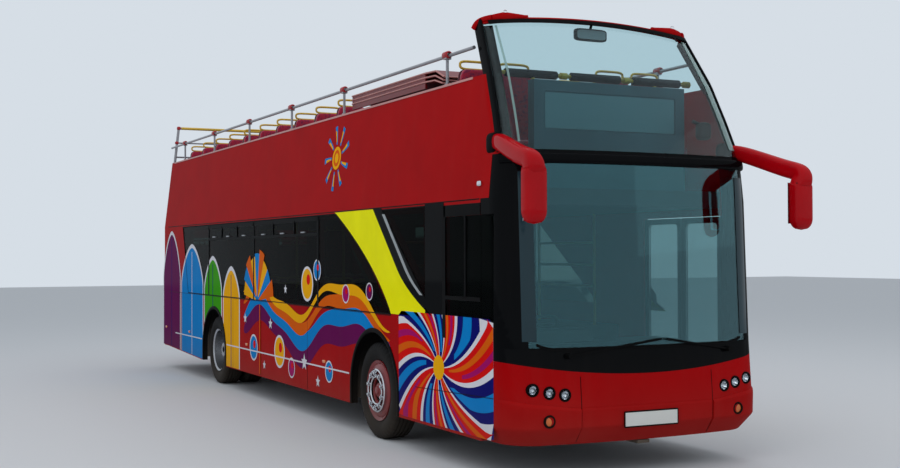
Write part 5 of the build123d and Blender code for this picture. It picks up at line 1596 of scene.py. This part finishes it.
def add_hood_lips_and_highlights():
    """Pale pink lips along the edges of the stair hood's three shells; their pink is a painted highlight of
    the rounded edges.
    """
    low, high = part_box("stair_hood")
    edge, below = 0.0085, 0.007
    edges = []
    for layer in range(3):
        top = high[2] - 0.042 * (2 - layer)
        fore = low[1] + 0.012 * (2 - layer)
        foot = top - (0.06 + 0.014 * layer)
        route = [(high[1], top), (fore + 0.42, top), (fore + 0.18, top - 0.01), (fore + 0.004, foot)]
        for x in (low[0] - 0.002, high[0] + 0.002):
            path = polyline([(x, y, z - below) for y, z in route], 12)
            edges.append(sweep(path, circle(edge, 8), up=(1, 0, 0)))
        edges.append(tube((low[0], fore, foot - below), (high[0], fore, foot - below), edge, 8))
    # Pink lips that stand in for the highlight along the shells' rounded edges (painted highlight)
    piece("hood_edges", merge(edges), "cap_pink", smooth=50)


def add_clamps():
    """Red clamps on the handrails and the rear guard, and the guard's yellow top bar."""
    low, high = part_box("handrails")
    rail_x, rail_z = high[0] - 0.022, high[2] - 0.022
    clamp = [(-0.05, 0.02), (-0.05, 0.028), (-0.04, 0.034), (0.04, 0.034), (0.05, 0.028), (0.05, 0.02)]
    posts = (-1.435, 1.105, 2.84875, 4.5925, 6.33625, 8.08)
    clamps = [turned(clamp, (side * rail_x, aft(s), rail_z), "Y", 20) for side in (-1, 1) for s in posts]
    low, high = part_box("rear_guard")
    y, z = (low[1] + high[1]) / 2, high[2] - 0.02
    for x, down, tall in ((1.04, 0.0, 0.06), (1.072, 0.244, 0.05)):
        clamps += [rounded_block((side * x, y, z - down), (0.06, 0.06, tall), 0.6) for side in (-1, 1)]
    piece("rail_clamps", merge(clamps), "clamp_red")
    bar_tube = tube((-1.0, y, z), (1.0, y, z), 0.0225, 16)
    piece("guard_bar", bar_tube, "hoop_yellow")


class BUS_OT_upper_deck(bpy.types.Operator):
    """Dress the grab rail, display, stair hood, handrails and rear guard"""

    bl_idname = "bus.upper_deck"
    bl_label = "Upper Deck"

    def execute(self, context):
        add_grab_rail()
        add_display()
        add_hood_lips_and_highlights()
        add_clamps()
        return {"FINISHED"}


# Mirrors


head_place = (1.314, -3.25)


def mirror(side):
    """A mirror: a squared circle carried from a root on the corner, out and forwards, then down
    as the head; its two widths change along the way. Returned as arm and head."""
    section = squared(0.62, 32)
    share = spread(0, 1, 70)
    route = smooth_path([
        (1.2, -2.48, 2.75), (1.228, -2.56, 2.738), (1.262, -2.72, 2.69), (1.295, -2.92, 2.625),
        (1.318, -3.08, 2.575), (1.33, -3.22, 2.545), (1.326, -3.262, 2.5), (1.316, -3.254, 2.46),
        (*head_place, 2.44),
    ], len(share))
    route[:, 2] -= 0.03 * side * share
    route = np.stack([side * route[:, 0], aft(route[:, 1]), route[:, 2]], axis=-1)
    deep = np.interp(share, [0, 0.25, 0.7, 0.96, 1], [0.062, 0.07, 0.076, 0.07, 0.06])
    wide = np.interp(share, [0, 0.25, 0.6, 0.96, 1], [0.055, 0.055, 0.064, 0.094, 0.08])
    arm = sweep(route, section, up=(1, 0, 0), scale=np.stack([deep, wide], axis=-1))

    down = spread(0, 1, 40)
    top, tall = 2.446 - 0.03 * side, 0.401 - 0.015 * side
    x, place = head_place
    fall = np.stack([np.full(40, side * x), np.full(40, aft(place)), top - tall * down], axis=-1)
    end = np.clip((down - 0.72) / 0.28, 0, 1)
    start = np.clip(1 - down / 0.05, 0, 1)
    swell = np.sqrt(np.maximum(1 - end**2.4, 0.0)) * (1 - 0.06 * start) + 0.0001
    scale = np.stack([0.068 * swell + 0.001, 0.096 * (swell * 0.6 + 0.4 * swell**0.5)], axis=-1)
    return arm, sweep(fall, section, up=(1, 0, 0), scale=scale)


class BUS_OT_mirrors(bpy.types.Operator):
    """Replace the plain mirrors with drooping arms and rounded heads"""

    bl_idname = "bus.mirrors"
    bl_label = "Mirrors"

    def execute(self, context):
        finish = "mirror_red"
        arms, heads = (merge(list(parts)) for parts in zip(*(mirror(side) for side in (-1, 1))))
        piece("mirror_arms", arms, finish, replaces=("mirrors",), smooth=60)
        piece("mirror_heads", heads, finish, smooth=60)
        x, place = head_place
        roots, necks = [], []
        for side in (-1, 1):
            roots.append(rounded_block((side * 1.185, aft(-2.42), 2.745), (0.14, 0.17, 0.18), 0.5))
            necks.append(rounded_block((side * x, aft(place), 2.448 - 0.03 * side), (0.17, 0.12, 0.036), 0.4))
        black("mirror_roots", merge(roots + necks))
        return {"FINISHED"}


# Seats


def pad(size, rise, roundness=0.42, rings=14, segments=24):
    """A stuffed pad: a superellipsoid whose top is raised by the product of two cosines, so that
    the middle is crowned and the edges stay full."""
    points, quads = rounded_block((0, 0, 0), size, roundness, rings, segments)
    half = np.asarray(size, float) / 2
    share = points / half
    swell = rise * np.cos(share[:, 0] * np.pi / 2) * np.cos(share[:, 1] * np.pi / 2)
    points = points + np.stack([0 * swell, 0 * swell, swell * np.sign(share[:, 2])], axis=-1)
    return points, quads


def tilted(part, angle, shift):
    """A part turned about the X axis by an angle, then shifted."""
    points, quads = part
    sine, cosine = math.sin(angle), math.cos(angle)
    turn = np.array([(1, 0, 0), (0, cosine, sine), (0, -sine, cosine)])
    return points @ turn + np.asarray(shift, float), quads


def seat_spots(rows, outer, inner):
    """Seat positions (x, place, floor) of two seats to a bench."""
    quarter = (outer - inner + 0.024) / 4
    centre = (outer + inner) / 2
    return np.array([
        (side * (centre + shift * quarter), aft(place), floor)
        for side, place, floor in rows for shift in (-1, 1)
    ])


# Rows of benches: side, place behind the front axle, and height of the floor under them
upper_top, lower_top, raised_top, seat_pitch = 2.4003, 0.3803, 0.9003, 0.72
upper_rows = [(-1, -1.5, upper_top)] + [(-1, 1.52 + seat_pitch * row, upper_top) for row in range(10)]
upper_rows += [(1, -1.5 + seat_pitch * row, upper_top) for row in range(3)]
upper_rows += [(1, 0.8 + seat_pitch * row, upper_top) for row in range(11)]
lower_rows = [(-1, place, lower_top) for place in (2.0, 2.8, 3.6, 4.4)]
lower_rows += [(1, place, lower_top) for place in (1.5, 2.3, 3.1, 3.9)]
raised_rows = [(side, place, raised_top) for side in (-1, 1) for place in (5.8, 6.6, 7.4, 8.2)]


def saloon_rows():
    """Rows of the lower deck; those beside the rear wheels stand on the wheel boxes."""
    on_box, box_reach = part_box("wheel_boxes")[1][2] + 0.0003, 1.2
    return [
        (side, place, on_box if abs(place - wheelbase) < box_reach else floor)
        for side, place, floor in lower_rows + raised_rows
    ]


def seat_parts():
    """Cushion, back, shell with its pan, pedestal and grab ring of one seat."""
    rake, dip = math.radians(90 + 5.5), 0.06
    cushion = tilted(pad((0.365, 0.40, 0.085), 0.016), dip, (0, -0.315, 0.392))
    back = tilted(pad((0.355, 0.66, 0.058), 0.012, 0.3), rake, (0, -0.062, 0.755))
    shell = tilted(pad((0.365, 0.70, 0.022), 0.004, 0.25), rake, (0, -0.025, 0.735))
    pan = tilted(pad((0.36, 0.42, 0.03), 0.004, 0.25), dip, (0, -0.30, 0.345))
    leg = turned([
        (0.0, 0.0), (0.0, 0.05), (0.012, 0.05), (0.02, 0.024), (0.31, 0.022), (0.335, 0.05), (0.335, 0.0)
    ], (0, -0.28, 0.0), "Z", 12)
    turn = spread(0, 2 * np.pi, 29)
    ring = [0.15 * power(np.cos(turn), 0.4), -0.03 + 0 * turn, 1.126 + 0.036 * power(np.sin(turn), 0.7)]
    hoop = loop(np.stack(ring, axis=-1), circle(sizes().hoop_tube, 8), (0, 1, 0))
    return cushion, back, merge([shell, pan]), leg, hoop


def seat_part(name, part, spots, finish, slot, replaces=()):
    """A piece made of one part of a seat, copied to every seat."""
    return piece(name, repeat(part, spots), finish, replaces=replaces, smooth=60)


class BUS_OT_seats(bpy.types.Operator):
    """Replace the plain benches with padded seats, shells, pedestals and grab hoops"""

    bl_idname = "bus.seats"
    bl_label = "Seats"

    def execute(self, context):
        cushion, back, shell, leg, hoop = seat_parts()
        cloth = ("moquette", "seat_crimson")
        for deck, spots, rings, replaced in (
            ("upper", seat_spots(upper_rows, 1.11, 0.33), "seat_rings", ("seat_hoops",)),
            ("lower", seat_spots(saloon_rows(), 1.15, 0.35), "saloon_rings", ()),
        ):
            cushions = seat_part(f"{deck}_cushions", cushion, spots, *cloth, (f"{deck}_seats",))
            backs = seat_part(f"{deck}_backs", back, spots, *cloth)
            seat_part(f"{deck}_shells", shell, spots, "seat_shell", "hood_red")
            seat_part(f"{deck}_pedestals", leg, spots, "rail_grey", "rail_grey")
            seat_part(rings, hoop, spots, "hoop_yellow", "hoop_yellow", replaced)
        return {"FINISHED"}


class BUS_PT_panel(bpy.types.Panel):
    """Lists the steps that build the bus"""

    bl_label = "Bus"
    bl_idname = "BUS_PT_panel"
    bl_space_type = "VIEW_3D"
    bl_region_type = "UI"
    bl_category = "Bus"

    def draw(self, context):
        for step in steps:
            self.layout.operator(step.bl_idname)


steps = (
    BUS_OT_finishes, BUS_OT_stage, BUS_OT_tyres, BUS_OT_livery, BUS_OT_glazing, BUS_OT_trim,
    BUS_OT_wheels, BUS_OT_front, BUS_OT_upper_front, BUS_OT_upper_deck, BUS_OT_mirrors, BUS_OT_seats,
)
classes = (BusColours, BusSizes, *steps, BUS_PT_panel)


def register():
    """Registers the classes and puts the settings on the scene."""
    for item in classes:
        bpy.utils.register_class(item)
    bpy.types.Scene.bus_colours = bpy.props.PointerProperty(type=BusColours)
    bpy.types.Scene.bus_sizes = bpy.props.PointerProperty(type=BusSizes)


def unregister():
    """Takes the settings and the classes away."""
    del bpy.types.Scene.bus_sizes
    del bpy.types.Scene.bus_colours
    for item in reversed(classes):
        bpy.utils.unregister_class(item)


def main():
    register()
    for step in steps:
        group, action = step.bl_idname.split(".")
        getattr(getattr(bpy.ops, group), action)()


if __name__ == "__main__":
    main()
